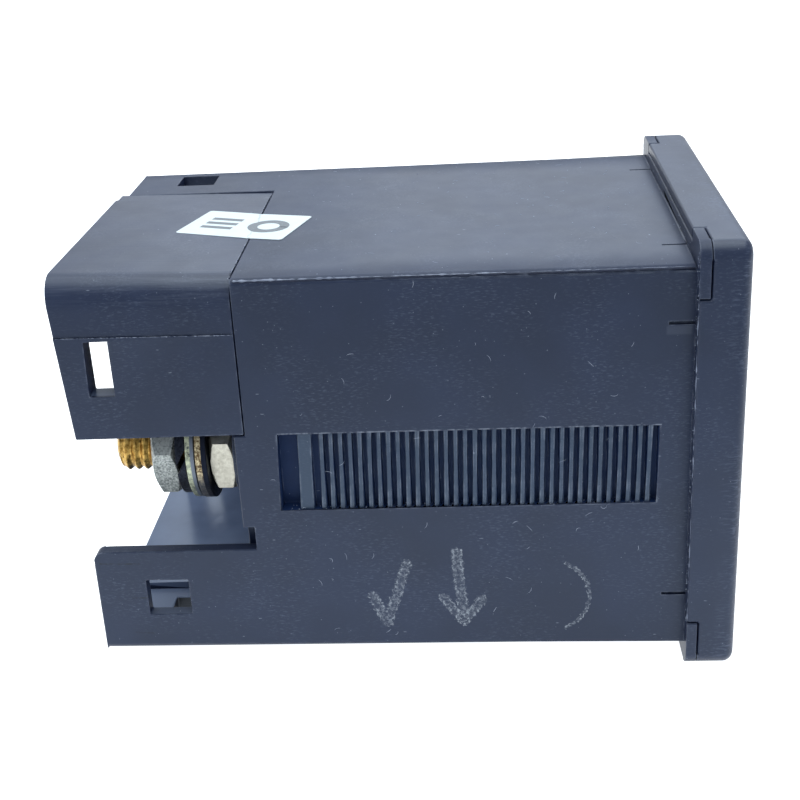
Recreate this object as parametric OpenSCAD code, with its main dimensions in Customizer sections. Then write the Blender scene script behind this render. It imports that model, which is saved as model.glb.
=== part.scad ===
// Square panel ammeter with a moving-iron movement and a quarter-circle scale.
// The origin is the middle of the panel seat, the plane just behind the bezel.
// +Y runs back through the panel, -Y faces the reader and +Z is up. Millimetres.

/* [Bezel] */
// Width and height of the bezel
bezel_size = 48; // [47.6:0.1:54]
// Depth of the bezel in front of the panel
bezel_depth = 5.2; // [4.9:0.1:8]
// Radius of the bezel's four corners
bezel_corner_r = 1.8; // [1.3:0.1:3]
// Rounding of the bezel's front edge
bezel_edge_r = 1.1; // [0.3:0.1:1.2]
// Wall of the bezel's skirt
bezel_wall = 1.2; // [0.9:0.05:1.3]
// Width and height of the dial aperture
aperture = 39.2; // [34:0.2:40]
// Radius of the corner web that hides the pivot
web_r = 15; // [14:0.5:19]
// Thickness of the window pane
pane_t = 2; // [1.2:0.1:2.3]

/* [Housing] */
// Width of the body behind the panel
body_w = 44.8; // [42:0.1:45.2]
// Height of the body behind the panel
body_h = 42.9; // [41:0.1:45.2]
// Depth of the body, from the panel seat to the cover seam
body_depth = 46; // [45:0.5:60]
// Length of the terminal chamber behind the seam
tail_depth = 18; // [17.5:0.5:26]
// Moulded wall thickness
wall = 1.5; // [1.2:0.1:2]
// Thickness of the rear wall under the plateau
rear_wall = 1.8; // [1.4:0.1:3]
// Height of the plateau that the covers fit round
plateau_h = 1.2; // [0.8:0.1:2]
// Height of the side wall that runs on behind the seam
tongue_h = 12.35; // [10:0.05:14]
// Width of the top and bottom strips that run on behind the seam
strip_w = 10.4; // [8:0.1:13]
// Rounding of the tongue's free corner
tongue_r = 1.2; // [0.3:0.1:2]
// Relief between the tongue and the plateau's side filler
relief_w = 2.7; // [1.5:0.1:4]
// Thickness of the front flange and its corner lugs
flange_t = 1.15; // [0.9:0.05:1.6]
// Length of each corner lug along the bezel's edge
lug_len = 5.6; // [4:0.1:8]
// Length of the slits behind the flange
slit_len = 2.6; // [1.5:0.1:4]
// Distance of the slits from the middle of each side
slit_offset = 15.5; // [12:0.1:18]
// Width and depth of the slits
slit_w = 0.35; // [0.2:0.05:0.6]

/* [Clip windows] */
// Length and height of the window in each tongue
tongue_win = [4.7, 4.35]; // [3:0.05:6]
// Corner of the tongue's window, behind the seam and in from the body's edge
tongue_win_at = [7.9, 4.4]; // [2:0.1:10]
// Width and length of the window in each strip
strip_win = [4.55, 4.6]; // [3:0.05:6]
// Corner of the near strip's window, in from the side and behind the seam
near_strip_win_at = [3.8, 7]; // [1.6:0.1:9]
// Corner of the far strip's window, in from the side and behind the seam
far_strip_win_at = [1.85, 8.2]; // [1.6:0.1:9]
// Length and height of the window in each cover
cover_win = [2.55, 6.1]; // [2:0.05:8]
// Corner of the cover's window, behind the seam and down from the roof
cover_win_at = [13, 5.95]; // [4:0.05:14]

/* [Clamp track] */
// Height of the ribbed track
track_h = 8.9; // [6:0.1:9.4]
// Distance of the track's front end from the panel seat
track_start = 3.3; // [2.8:0.1:5]
// Number of ribs
rib_count = 35; // [20:1:35]
// Distance from one rib to the next
rib_pitch = 1; // [0.8:0.02:1]
// Width of a rib at its crest
rib_crest = 0.4; // [0.2:0.02:0.45]
// Width of a rib at its root
rib_root = 0.54; // [0.45:0.02:0.7]
// Height of a rib above the groove floor
rib_h = 1; // [0.5:0.05:1.2]
// Depth of the rib crests below the wall
rib_drop = 0.3; // [0.1:0.05:0.5]
// Length of the plain pad behind the ribs
pad_len = 1.37; // [1:0.01:2]
// Length of the pocket where a clamp is entered
pocket_len = 2.13; // [1.5:0.01:2.6]
// Depth of that pocket
pocket_depth = 1.9; // [1.4:0.1:2]
// Extra wall behind the track
track_back = 1; // [0.8:0.1:1.4]

/* [Terminal covers] */
// Wall of a cover
cover_wall = 2.4; // [1.8:0.1:2.8]
// Rounding of the cover's outer edge
cover_r = 3; // [1.5:0.1:4]
// Rounding inside that edge
cover_inner_r = 1; // [0.4:0.1:2]
// Height of the cover's side
cover_skirt = 16.85; // [14:0.05:17.5]
// Height of the upper band of that side
cover_shoulder = 5.75; // [4.5:0.05:5.8]
// How far the side stands proud below the band
cover_step = 0.15; // [0.05:0.05:0.4]
// Width of the thinner lip beside the strip
cover_lip = 3.1; // [2:0.1:5]
// How far the lip lies below the roof
lip_drop = 0.25; // [0.1:0.05:0.6]
// How far the rear of the side has sprung outwards
spread_side = 0.5; // [0:0.05:1]
// How far the rear of the roof has sprung upwards
spread_roof = 0.7; // [0:0.05:1]
// How far the rear of the upper cover's roof has slipped back
spread_back = 1.05; // [0:0.05:1.5]

/* [Terminals] */
// Distance between the two studs
stud_pitch = 27.5; // [26:0.1:28]
// Outside diameter of the stud's thread
stud_d = 6; // [5:0.1:6]
// Pitch of the thread
thread_pitch = 1; // [0.8:0.05:1]
// Length of stud behind the lug nut
stud_free = 4.45; // [2:0.05:4.6]
// Chamfer of the stud's end
stud_chamfer = 0.6; // [0.3:0.1:0.9]
// Width across the flats of nuts and bolt heads
nut_af = 10; // [9.4:0.1:10.2]
// Thickness of the base nut
base_nut_t = 2.7; // [2.4:0.05:3.2]
// Thickness of the lug nut
lug_nut_t = 2.7; // [2.4:0.05:3.2]
// Outside diameter of the base washer
base_washer_d = 12.5; // [11.5:0.1:12.7]
// Thickness of the base washer
base_washer_t = 1.25; // [0.8:0.05:1.3]
// Outside diameter of the lug washer
lug_washer_d = 12.3; // [11.5:0.1:12.7]
// Thickness of the lug washer
lug_washer_t = 0.95; // [0.6:0.05:1.1]
// Outside diameter of the spring washer
spring_washer_d = 11.4; // [10.4:0.1:11.8]
// Thickness of the spring washer
spring_washer_t = 1.1; // [0.8:0.05:1.2]
// Diameter of the boss under each base nut
boss_d = 12; // [11.4:0.1:12.8]
// Height of that boss above the plateau
boss_h = 0.9; // [0.6:0.1:1.6]
// Height of the bolt's head inside the case
bolt_head_h = 4; // [3:0.1:5]

/* [Dial and pointer] */
// Thickness of the dial plate
dial_t = 0.5; // [0.4:0.05:0.8]
// Diameter of the dial's hole round the pivot
dial_hole_d = 9.6; // [9:0.1:10]
// Width of the corner seats that carry the dial
dial_seat_w = 4; // [3.6:0.1:5]
// Length of those seats
dial_seat_len = 6; // [5:0.5:10]
// Length of the pointer from pivot to tip
pointer_len = 27; // [22:0.5:29]
// Thickness of the pointer's blade
pointer_t = 0.3; // [0.2:0.05:0.4]
// Width of the pointer's blade at the hub
pointer_w = 1.1; // [0.8:0.05:1.4]
// Width of the blade at its tip
pointer_tip_w = 0.24; // [0.2:0.02:0.5]
// Diameter of the pointer's hub
hub_d = 2.6; // [2.2:0.1:3]
// Length of the pointer's hub
hub_len = 0.9; // [0.8:0.05:1.2]

/* [Movement] */
// Distance of the spindle from the inner faces of the corner it stands in
pivot_inset = 7.35; // [7.2:0.05:8]
// Diameter of the spindle
spindle_d = 1.2; // [1:0.05:1.3]
// Diameter of the spindle's two pivots
pivot_d = 0.5; // [0.4:0.02:0.6]
// Distance between the two bridge screws
bridge_span = 13; // [12.4:0.1:13.4]
// Width of the front bridge
bridge_w = 3; // [2.6:0.1:3.4]
// Thickness of the front bridge
bridge_t = 0.8; // [0.7:0.05:1]
// Thickness of the movement frame's plate
frame_t = 1.6; // [1.2:0.1:2]
// Diameter of the legs behind that plate
leg_d = 2; // [1.6:0.1:2.2]
// Thickness of the arms from the legs to the rear bearing
bar_t = 1.6; // [1.2:0.1:2]
// Length of the coil bobbin
bobbin_len = 16; // [14:0.5:17]
// Bore of the bobbin
bobbin_bore_d = 8; // [7.8:0.1:8.4]
// Wall of the bobbin's tube
bobbin_wall = 0.6; // [0.5:0.05:0.7]
// Thickness of the bobbin's flanges
bobbin_flange_t = 1; // [0.8:0.1:1.4]
// Diameter of the coil's wire
wire_d = 1.7; // [1.4:0.05:1.8]
// Thickness of the fixed iron
fixed_iron_t = 0.47; // [0.3:0.01:0.5]
// Thickness of the moving iron
moving_iron_t = 0.4; // [0.3:0.02:0.5]
// Length of the moving iron
moving_iron_len = 10; // [8:0.5:11]
// Outside diameter of the damping cup
cup_d = 9.2; // [8.8:0.1:9.4]
// Length of the damping cup
cup_len = 4.4; // [4:0.1:5]
// Wall of the damping cup
cup_wall = 0.6; // [0.5:0.05:0.8]
// Diameter of the damping disc
disc_d = 6.8; // [5:0.1:7.2]
// Thickness of the damping disc
disc_t = 0.6; // [0.4:0.05:0.8]
// Height of the hairspring
spring_h = 0.35; // [0.25:0.05:0.45]
// Thickness of the hairspring's strip
spring_t = 0.1; // [0.08:0.01:0.14]
// Turns of the hairspring
spring_turns = 3.5; // [2.5:0.5:4.5]
// Outside radius of the hairspring
spring_r = 3.6; // [3.2:0.05:3.8]

/* [Zero adjuster] */
// Distance of the zero screw from the spindle
zero_offset = 5; // [4.8:0.1:5.4]
// Throw of the zero screw's eccentric pin
zero_throw = 0.8; // [0.6:0.05:0.9]
// Diameter of the eccentric pin
zero_pin_d = 0.8; // [0.6:0.05:0.9]
// Diameter of the zero screw's head
zero_head_d = 4; // [3.4:0.1:4.4]
// Diameter of the zero screw's shank
zero_shank_d = 2.6; // [2.4:0.1:2.8]
// Thickness of the zero lever
lever_t = 0.5; // [0.4:0.05:0.6]

/* [Fits] */
// Gap between pieces that fit together
fit = 0.1; // [0.06:0.01:0.14]
// Running clearance of turning pieces, on the radius
run = 0.05; // [0.02:0.01:0.08]
// Gap between loosely stacked washers and nuts
stack_gap = 0.1; // [0.04:0.01:0.14]
// Clear space between moving pieces and what they pass
pass = 0.3; // [0.25:0.01:0.34]

/* [Hidden] */
$fn = 64;
over = 1;

// Colours
case_black = [0.22, 0.25, 0.32];
brass = [0.74, 0.53, 0.2];
zinc = [0.62, 0.65, 0.63];
iron_grey = [0.45, 0.45, 0.44];
rust = [0.45, 0.38, 0.3];
copper = [0.72, 0.4, 0.22];

// Outer and inner limits of the case
band_margin = 0.5;
bezel_half = bezel_size / 2;
flange_half = bezel_half - bezel_wall - fit;
side = body_w / 2;
top = body_h / 2;
inner_x = side - wall;
inner_z = top - wall;
band_x = inner_x - track_back;
band_z = track_h / 2 + band_margin;
inner_back = body_depth - rear_wall;
plateau_y = body_depth + plateau_h;
tail_end = body_depth + tail_depth;
plateau_x = side - cover_wall - fit;
plateau_z = top - cover_wall - fit;
tongue_top = -top + tongue_h;
strip_edge = side - strip_w;

// Stack of layers behind the pane, from front to back
layer = 0.25;
pane_gap = 0.45;
spring_gap = 0.35;
head_h = 1.3;
head_gap = 0.4;
cup_gap = 1;
pane_back = -flange_t - fit / 2;
pane_front = pane_back - pane_t;
lever_y = pane_back + pane_gap;
bridge_y = lever_y + lever_t + layer;
spring_y = bridge_y + bridge_t + spring_gap;
hub_y = spring_y + spring_h + pass;
blade_y = hub_y + (hub_len - pointer_t) / 2;
dial_y = hub_y + hub_len + pass;
dial_back = dial_y + dial_t;
frame_y = dial_back + head_h + head_gap;
bobbin_y = frame_y + frame_t;
bobbin_back = bobbin_y + bobbin_len;
cup_y = bobbin_back + cup_gap;
cup_back = cup_y + cup_len;
bar_back = cup_back + bar_t;

// Dial limits
dial_x = band_x - 2 * fit;
dial_z = inner_z - 2 * fit;

// Spindle, bridge and coil
pivot_x = inner_x - pivot_inset;
pivot_z = -inner_z + pivot_inset;
bridge_turn = 45;
post_d = 2.6;
bobbin_gap = 0.35;
bobbin_r = pivot_inset - bobbin_gap;
bobbin_tube_r = bobbin_bore_d / 2 + bobbin_wall;
wire_r = wire_d / 2;
rim_h = 0.2;
turn_r = bobbin_r - rim_h - wire_r;
coil_front = bobbin_y + bobbin_flange_t + fit;
coil_turns = floor((bobbin_len - 2 * bobbin_flange_t - 2 * fit) / wire_d);
coil_len = coil_turns * wire_d;
tail_start = coil_front + coil_len - wire_r;
leg_gap = 0.6;
leg_out = bobbin_r + leg_d / 2 + leg_gap;
leg_turn = acos((pivot_inset - track_back - leg_d / 2 - 2 * fit) / leg_out);
leg_turns = [leg_turn, 270 - leg_turn];
small_screw_r = 0.7;
small_head_r = 1.4;
small_head_h = 0.7;
bearing_head_r = 1.9;
bearing_boss_r = 1.5;
bearing_shank_r = 1;
rear_bearing_r = 1.4;
bearing_wall = 1;
bearing_proud = 1;
rear_bearing_reach = 1.8;
rear_bearing_y = cup_back - rear_bearing_reach;
slot_w = 0.4;
bore_depth = 0.8;
spindle_gap = 0.2;
spindle_front = bridge_y + bridge_t + spindle_gap;
spindle_back = rear_bearing_y - run * 2;
cup_floor_t = 1;
cup_floor_y = cup_back - cup_floor_t;
disc_gap = 0.4;
disc_y = rear_bearing_y - disc_gap - disc_t;

// Screw bosses inside the case
screw_r = 1;
screw_len = 5;
screw_tip_gap = 0.5;
screw_head_r = 1.9;
dial_head_h = 0.8;
boss_half = 2.1;
boss_len = 8;
right_boss_rise = 10.8;
lower_boss_run = 10.95;
boss_gap = 0.2;
right_boss = [band_x - boss_half - boss_gap, pivot_z + right_boss_rise];
lower_boss = [pivot_x - lower_boss_run, -inner_z + boss_half + boss_gap];

// Zero adjuster
zero_turn = -45;
zero_x = pivot_x + zero_offset * cos(zero_turn);
zero_z = pivot_z + zero_offset * sin(zero_turn);
zero_boss_wall = 1;
zero_boss_r = zero_shank_d / 2 + zero_boss_wall;
zero_collar_t = 0.3;
zero_collar_w = 0.35;
zero_boss_back = pane_back - zero_collar_t;
zero_head_t = 1.2;
zero_seat_y = -bezel_depth + zero_head_t;
zero_slot_d = 0.7;
zero_slot_w = 0.7;
fork_w = zero_pin_d + 2 * fit;

// Terminal stack, from the boss backwards
thread_r = stud_d / 2 - 0.325 * thread_pitch;
washer_play = 0.2;
washer_bore_r = stud_d / 2 + washer_play;
boss_y = plateau_y + boss_h;
base_washer_y = boss_y + base_nut_t + stack_gap;
lug_washer_y = base_washer_y + base_washer_t + stack_gap;
spring_washer_y = lug_washer_y + lug_washer_t + stack_gap;
lug_nut_y = spring_washer_y + spring_washer_t + stack_gap / 2;
stud_shoulder = lug_nut_y + lug_nut_t;
stud_end = stud_shoulder + stud_free;
eyelet_t = 0.8;
eyelet_r = 5;
eyelet_y = inner_back - eyelet_t;
tab_w = 4;
barrel_z = -8.4;
barrel_wall = 1;
barrel_r = wire_r + barrel_wall;
barrel_len = 5;
barrel_y = eyelet_y - barrel_len;

// Covers
lip_end = strip_edge - fit;
roof_end = lip_end - cover_lip;
skirt_low = top - cover_skirt;
cover_front = body_depth + fit;
cover_back = tail_end - 2 * fit;

// General shapes

// A box given by its limits on each axis
module block(x0, x1, y0, y1, z0, z1)
  translate([x0, y0, z0]) cube([x1 - x0, y1 - y0, z1 - z0]);

// A flat outline in X and Z, carried from y0 to y1
module slab(y0, y1)
  translate([0, y1, 0]) rotate([90, 0, 0]) linear_extrude(y1 - y0) children();

// A round bar along Y
module bar(r, y0, y1)
  translate([0, y0, 0]) rotate([-90, 0, 0]) cylinder(r = r, h = y1 - y0);

// A ring or tube along Y
module tube(r_out, r_in, y0, y1)
  difference() {
    bar(r_out, y0, y1);
    bar(r_in, y0 - over, y1 + over);
  }

// A half profile of radius and Y, turned about the Y axis
module turned(angle = 360)
  rotate([-90, 0, 0]) rotate_extrude(angle = angle) children();

// A cone frustum along Y
module frustum(r0, r1, y0, y1)
  translate([0, y0, 0]) rotate([-90, 0, 0]) cylinder(r1 = r0, r2 = r1, h = y1 - y0);

// A route with each inner corner replaced by a short curve that starts bend before it
function unit(v) = v / norm(v);
function eased(route, bend) = let (n = len(route)) concat([route[0]],
  [for (i = [1 : n - 2], t = [0 : 0.25 : 1])
    let (p = route[i], a = p + bend * unit(route[i - 1] - p), b = p + bend * unit(route[i + 1] - p))
      a * (1 - t) * (1 - t) + 2 * p * t * (1 - t) + b * t * t],
  [route[n - 1]]);

// A round wire along a route that never runs upright
module wire(route, r, sides = 12) {
  n = len(route);
  rings = [for (k = [0 : n - 1])
    let (t = unit(route[min(k + 1, n - 1)] - route[max(k - 1, 0)]),
      u = unit(cross(t, [0, 0, 1])), v = cross(t, u))
      [for (i = [0 : sides - 1]) let (a = 360 * i / sides) route[k] + r * (cos(a) * u + sin(a) * v)]];
  walls = [for (k = [0 : n - 2], i = [0 : sides - 1])
    let (a = k * sides + i, b = k * sides + (i + 1) % sides)
      each [[a, b + sides, b], [a, a + sides, b + sides]]];
  ends = [[for (i = [0 : sides - 1]) i], [for (i = [sides - 1 : -1 : 0]) (n - 1) * sides + i]];
  polyhedron([for (ring = rings) each ring], concat(ends, walls));
}

// A rectangle with round corners
module soft_rect(w, h, r) {
  square([w - 2 * r, h], center = true);
  square([w, h - 2 * r], center = true);
  for (sx = [-1, 1], sz = [-1, 1])
    translate([sx * (w / 2 - r), sz * (h / 2 - r)]) circle(r);
}

module at_pivot() translate([pivot_x, 0, pivot_z]) children();

module polar(d, angle) translate([d * cos(angle), 0, d * sin(angle)]) children();

// A shape and its copy turned half round about the Y axis
module both_ways()
  for (turn = [0, 180]) rotate([0, turn, 0]) children();

module at_studs()
  for (sx = [-1, 1]) translate([sx * stud_pitch / 2, 0, 0]) children();

// Housing

// Flange inside the skirt, with four lugs that fill the skirt's corner notches
module flange_outline()
  intersection() {
    soft_rect(bezel_size, bezel_size, bezel_corner_r);
    union() {
      square(2 * flange_half, center = true);
      for (sx = [-1, 1], sz = [-1, 1])
        translate([sx, sz] * (bezel_half - lug_len / 2)) square(lug_len, center = true);
    }
  }

// Comb-shaped cut of the near track: X is depth from the wall, Y runs along the track
first_rib = 0.9;
last_gap = 1.1;
function rib_y(i) = track_start + rib_pitch * (i + first_rib);
function comb(d, y) = [-side + d, y];
groove_depth = rib_drop + rib_h;
pad_y = rib_y(rib_count - 1) + last_gap * rib_pitch;
pocket_y = pad_y + pad_len;
track_end = pocket_y + pocket_len;
comb_outline = concat(
  [comb(-over, track_start), comb(groove_depth, track_start)],
  [for (i = [0 : rib_count - 1], k = [0 : 3])
    comb(k == 0 || k == 3 ? groove_depth : rib_drop,
      rib_y(i) + [-rib_root, -rib_crest, rib_crest, rib_root][k] / 2)],
  [comb(groove_depth, pad_y), comb(rib_drop, pad_y), comb(rib_drop, pocket_y),
    comb(pocket_depth, pocket_y), comb(pocket_depth, track_end), comb(-over, track_end)]);

module track_cut()
  translate([0, 0, -track_h / 2]) linear_extrude(track_h) polygon(comb_outline);

// The hollow inside, narrower behind the two tracks
module hollow()
  difference() {
    block(-inner_x, inner_x, -flange_t - over, inner_back, -inner_z, inner_z);
    for (sx = [0, 1]) mirror([sx, 0, 0])
      block(band_x, side, slit_len, body_depth, -band_z, band_z);
  }

// One corner of the tail: a tongue of side wall and a strip of bottom wall, each with a clip window
module tail_corner(strip_win_at)
  difference() {
    union() {
      block(-side, -inner_x, body_depth, tail_end, -top, tongue_top);
      block(-side, -strip_edge, body_depth, tail_end, -top, -inner_z);
    }
    translate([-side - over, body_depth + tongue_win_at.x, -top + tongue_win_at.y])
      cube([wall + 2 * over, tongue_win.x, tongue_win.y]);
    translate([-side + strip_win_at.x, body_depth + strip_win_at.y, -top - over])
      cube([strip_win.x, strip_win.y, wall + 2 * over]);
    tongue_corner_cut();
  }

module tongue_corner_cut()
  translate([-side - over, tail_end - tongue_r, tongue_top - tongue_r])
    difference() {
      cube([wall + 2 * over, tongue_r + over, tongue_r + over]);
      rotate([0, 90, 0]) cylinder(r = tongue_r, h = wall + 2 * over);
    }

// Plateau on the rear wall, with a filler out to the side wall between cover and tongue
module plateau() {
  slab(body_depth, plateau_y) soft_rect(2 * plateau_x, 2 * plateau_z, cover_inner_r);
  both_ways()
    block(-side, -plateau_x + fit, body_depth, plateau_y, tongue_top + relief_w, skirt_low - 2 * fit);
  at_studs() bar(boss_d / 2, plateau_y, boss_y);
}

// Screw boss that stands on a wall, as a round post with a web to the wall
module screw_boss(at, web)
  translate([at.x, 0, at.y]) {
    half = [web.x == 0 ? boss_half : 0, web.y == 0 ? boss_half : 0];
    bar(boss_half, bobbin_y, bobbin_y + boss_len);
    block(min(0, web.x) - half.x, max(0, web.x) + half.x, bobbin_y, bobbin_y + boss_len,
      min(0, web.y) - half.y, max(0, web.y) + half.y);
  }

dial_seats = [[-1, 1], [1, 1], [-1, -1]];
dial_screw_seats = [[1, 1], [-1, -1]];
function seat_centre(s) = [s.x * (dial_x - dial_seat_w / 2), s.y * (dial_z - dial_seat_w / 2)];

module inner_bosses() {
  for (s = dial_seats) {
    inner = seat_centre(s) - s * dial_seat_w / 2;
    outer = [s.x * (inner_x + fit), s.y * (inner_z + fit)];
    block(min(inner.x, outer.x), max(inner.x, outer.x), dial_back, dial_back + dial_seat_len,
      min(inner.y, outer.y), max(inner.y, outer.y));
  }
  screw_boss(right_boss, [inner_x - right_boss.x, 0]);
  screw_boss(lower_boss, [0, -inner_z - lower_boss.y - fit]);
}

module screw_hole(at, y) translate([at.x, 0, at.y]) bar(screw_r + run, y - over, y + screw_len);

module slits() {
  for (k = [0 : 3], s = [-1, 1]) rotate([0, 90 * k, 0])
    block(s * slit_offset - slit_w / 2, s * slit_offset + slit_w / 2, 0, slit_len,
      (k % 2 == 0 ? top : side) - slit_w, bezel_half);
}

module housing() color(case_black)
  difference() {
    union() {
      difference() {
        union() {
          block(-side, side, 0, body_depth, -top, top);
          slab(-flange_t, 0) flange_outline();
        }
        hollow();
      }
      inner_bosses();
      plateau();
      tail_corner(near_strip_win_at);
      rotate([0, 180, 0]) tail_corner(far_strip_win_at);
    }
    both_ways() track_cut();
    slits();
    at_studs() bar(washer_bore_r, inner_back - over, boss_y + over);
    for (s = dial_screw_seats) screw_hole(seat_centre(s), dial_back);
    screw_hole(right_boss, bobbin_y);
    screw_hole(lower_boss, bobbin_y);
  }

// Bezel and window

// Bezel's outside, with a rounded front edge that runs round the four corners
module bezel_blank()
  hull()
    for (sx = [-1, 1], sz = [-1, 1])
      translate([sx, 0, sz] * (bezel_half - bezel_corner_r)) turned($fn = 32) {
        translate([0, bezel_edge_r - bezel_depth]) square([bezel_corner_r, bezel_depth - bezel_edge_r]);
        intersection() {
          translate([bezel_corner_r - bezel_edge_r, bezel_edge_r - bezel_depth]) circle(bezel_edge_r);
          translate([0, -bezel_depth]) square([bezel_corner_r, bezel_edge_r]);
        }
      }

module aperture_outline()
  difference() {
    square(aperture, center = true);
    translate([aperture / 2, -aperture / 2]) circle(web_r);
  }

module bezel() color(case_black)
  difference() {
    union() {
      difference() {
        bezel_blank();
        block(-flange_half - fit, flange_half + fit, pane_front, over,
          -flange_half - fit, flange_half + fit);
        slab(-bezel_depth - over, over) aperture_outline();
        for (sx = [-1, 1], sz = [-1, 1])
          translate([sx, 0, sz] * (bezel_half - lug_len / 2)) corner_notch();
      }
      translate([zero_x, 0, zero_z]) bar(zero_boss_r, pane_front - fit, zero_boss_back);
    }
    translate([zero_x, 0, zero_z]) {
      bar(zero_shank_d / 2 + run, -bezel_depth - over, over);
      bar(zero_head_d / 2 + fit, -bezel_depth - over, zero_seat_y);
    }
  }

module corner_notch() {
  half = lug_len / 2 + fit;
  block(-half, half, -flange_t - fit, over, -half, half);
}

module window() color([0.85, 0.9, 0.92, 0.35])
  difference() {
    slab(pane_front, pane_back) square(2 * flange_half, center = true);
    translate([zero_x, 0, zero_z]) bar(zero_boss_r + 2 * fit, pane_front - over, over);
  }

// Terminal covers

// Points along an arc of n steps from angle a0 to a1
function arc(c, r, a0, a1, n) =
  [for (i = [0 : n]) let (a = a0 + (a1 - a0) * i / n) c + r * [cos(a), sin(a)]];

// Section of a cover, outside and inside: from the lip beside the strip, round the edge, to the hem
edge_steps = 12;
shoulder_z = top - cover_shoulder;
cover_outside = concat(
  [[lip_end, top - lip_drop], [roof_end, top - lip_drop], [roof_end, top]],
  arc([cover_r - side, top - cover_r], cover_r, 90, 180, edge_steps),
  [[-side, shoulder_z], [-side - cover_step, shoulder_z], [-side - cover_step, skirt_low]]);
cover_inside = concat(
  [[lip_end, top - cover_wall], [roof_end, top - cover_wall]],
  arc([cover_wall + cover_inner_r - side, top - cover_wall - cover_inner_r], cover_inner_r,
    90, 180, edge_steps),
  [[cover_wall - side, shoulder_z], [cover_wall - side, skirt_low]]);

// Inside point that lies across the wall from each outside point
across = concat([0, 1, 1], [for (i = [0 : edge_steps]) i + 2],
  [edge_steps + 3, edge_steps + 3, edge_steps + 4]);

// Triangles of a four-sided patch, or of a three-sided one whose last two corners meet
function patch(a, b, c, d) = c == d ? [[a, b, c]] : [[a, b, c], [a, c, d]];

// The same section where the cover has sprung open: most at the rounded edge, least at both ends
hem_share = 0.35;
lip_share = 0.45;
function sprung(p) =
  let (u = min(1, (lip_end - p.x) / (lip_end + side)), v = (p.y - skirt_low) / (top - skirt_low))
    p + [-spread_side * u * (hem_share + (1 - hem_share) * v),
      spread_roof * v * v * (lip_share + (1 - lip_share) * u)];
function slipped(p, slip) = cover_back + slip * (p.y - skirt_low) / (top - skirt_low);

module cover(slip) {
  section = concat(cover_outside, cover_inside);
  n = len(section);
  out = len(cover_outside);
  front = [for (p = section) [p.x, cover_front, p.y]];
  back = [for (p = section) let (q = sprung(p)) [q.x, slipped(p, slip), q.y]];
  outer_skin = [for (i = [0 : out - 2]) each patch(i, i + 1, n + i + 1, n + i)];
  inner_skin = [for (i = [out : n - 2]) each patch(i + 1, i, n + i, n + i + 1)];
  front_end = [for (i = [0 : out - 2]) each patch(i + 1, i, out + across[i], out + across[i + 1])];
  back_end = [for (i = [0 : out - 2])
    each patch(n + i, n + i + 1, n + out + across[i + 1], n + out + across[i])];
  lip_edge = patch(0, n, n + out, out);
  hem = patch(n + out - 1, out - 1, n - 1, n + n - 1);
  difference() {
    polyhedron(concat(front, back),
      concat(outer_skin, inner_skin, front_end, back_end, lip_edge, hem));
    translate([-side - 2 * over, body_depth + cover_win_at.x, top - cover_win_at.y - cover_win.y])
      cube([cover_wall + 3 * over, cover_win.x, cover_win.y]);
  }
}

module terminal_cover_upper() color(case_black) cover(spread_back);

module terminal_cover_lower() color(case_black) rotate([0, 180, 0]) cover(0);

// Terminals

// Hexagon with both faces chamfered, one flat square to the X axis when turn is 0
hex_r = nut_af / 2 / cos(30);
hex_face_inset = 0.1;
hex_slope = 0.6;
hex_face_r = nut_af / 2 - hex_face_inset;
hex_cone_r = hex_r + hex_slope;
hex_rise = hex_slope * (hex_cone_r - hex_face_r);
base_nut_turn = -9.5;
lug_nut_turn = -20;
module hex(y0, y1, turn)
  rotate([0, turn, 0]) intersection() {
    translate([0, y0, 0]) rotate([-90, 30, 0]) cylinder(r = hex_r, h = y1 - y0, $fn = 6);
    turned() polygon([[0, y0], [hex_face_r, y0], [hex_cone_r, y0 + hex_rise],
      [hex_cone_r, y1 - hex_rise], [hex_face_r, y1], [0, y1]]);
  }

module terminal_bolt() {
  hex(eyelet_y - bolt_head_h, eyelet_y, 0);
  bar(thread_r, eyelet_y - over, stud_shoulder);
  bar(stud_d / 2, stud_shoulder, stud_end - stud_chamfer);
  frustum(stud_d / 2, stud_d / 2 - stud_chamfer, stud_end - stud_chamfer, stud_end);
}

module nut(y, t, turn)
  difference() {
    hex(y, y + t, turn);
    bar(thread_r + run, y - over, y + t + over);
  }

module terminal_bolt_left() color(brass) translate([-stud_pitch / 2, 0, 0]) terminal_bolt();

module terminal_bolt_right() color(brass) translate([stud_pitch / 2, 0, 0]) terminal_bolt();

module base_nuts() color(zinc) at_studs() nut(boss_y, base_nut_t, base_nut_turn);

module lug_nuts() color(zinc) at_studs() nut(lug_nut_y, lug_nut_t, lug_nut_turn);

module base_washers() color(rust)
  at_studs() tube(base_washer_d / 2, washer_bore_r, base_washer_y, base_washer_y + base_washer_t);

module lug_washers() color(zinc)
  at_studs() tube(lug_washer_d / 2, washer_bore_r, lug_washer_y, lug_washer_y + lug_washer_t);

// Split washers, cut through on a slant
split_slant = -60;
split_w = 0.5;
split_len = 6;
module spring_washers() color([0.13, 0.14, 0.18])
  at_studs() difference() {
    tube(spring_washer_d / 2, washer_bore_r, spring_washer_y, spring_washer_y + spring_washer_t);
    translate([-spring_washer_d / 2, spring_washer_y + spring_washer_t / 2, 0])
      rotate([split_slant, 0, 0]) cube([spring_washer_d - 2 * over, split_len, split_w], center = true);
  }

// Dial

module dial_plate() color([0.93, 0.93, 0.9])
  difference() {
    block(-dial_x, dial_x, dial_y, dial_back, -dial_z, dial_z);
    at_pivot() {
      bar(dial_hole_d / 2, dial_y - over, dial_back + over);
      for (s = [-1, 1]) polar(s * bridge_span / 2, bridge_turn)
        bar(post_d / 2 + pass, dial_y - over, dial_back + over);
    }
    for (s = dial_screw_seats) screw_hole(seat_centre(s), dial_y);
  }

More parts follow.
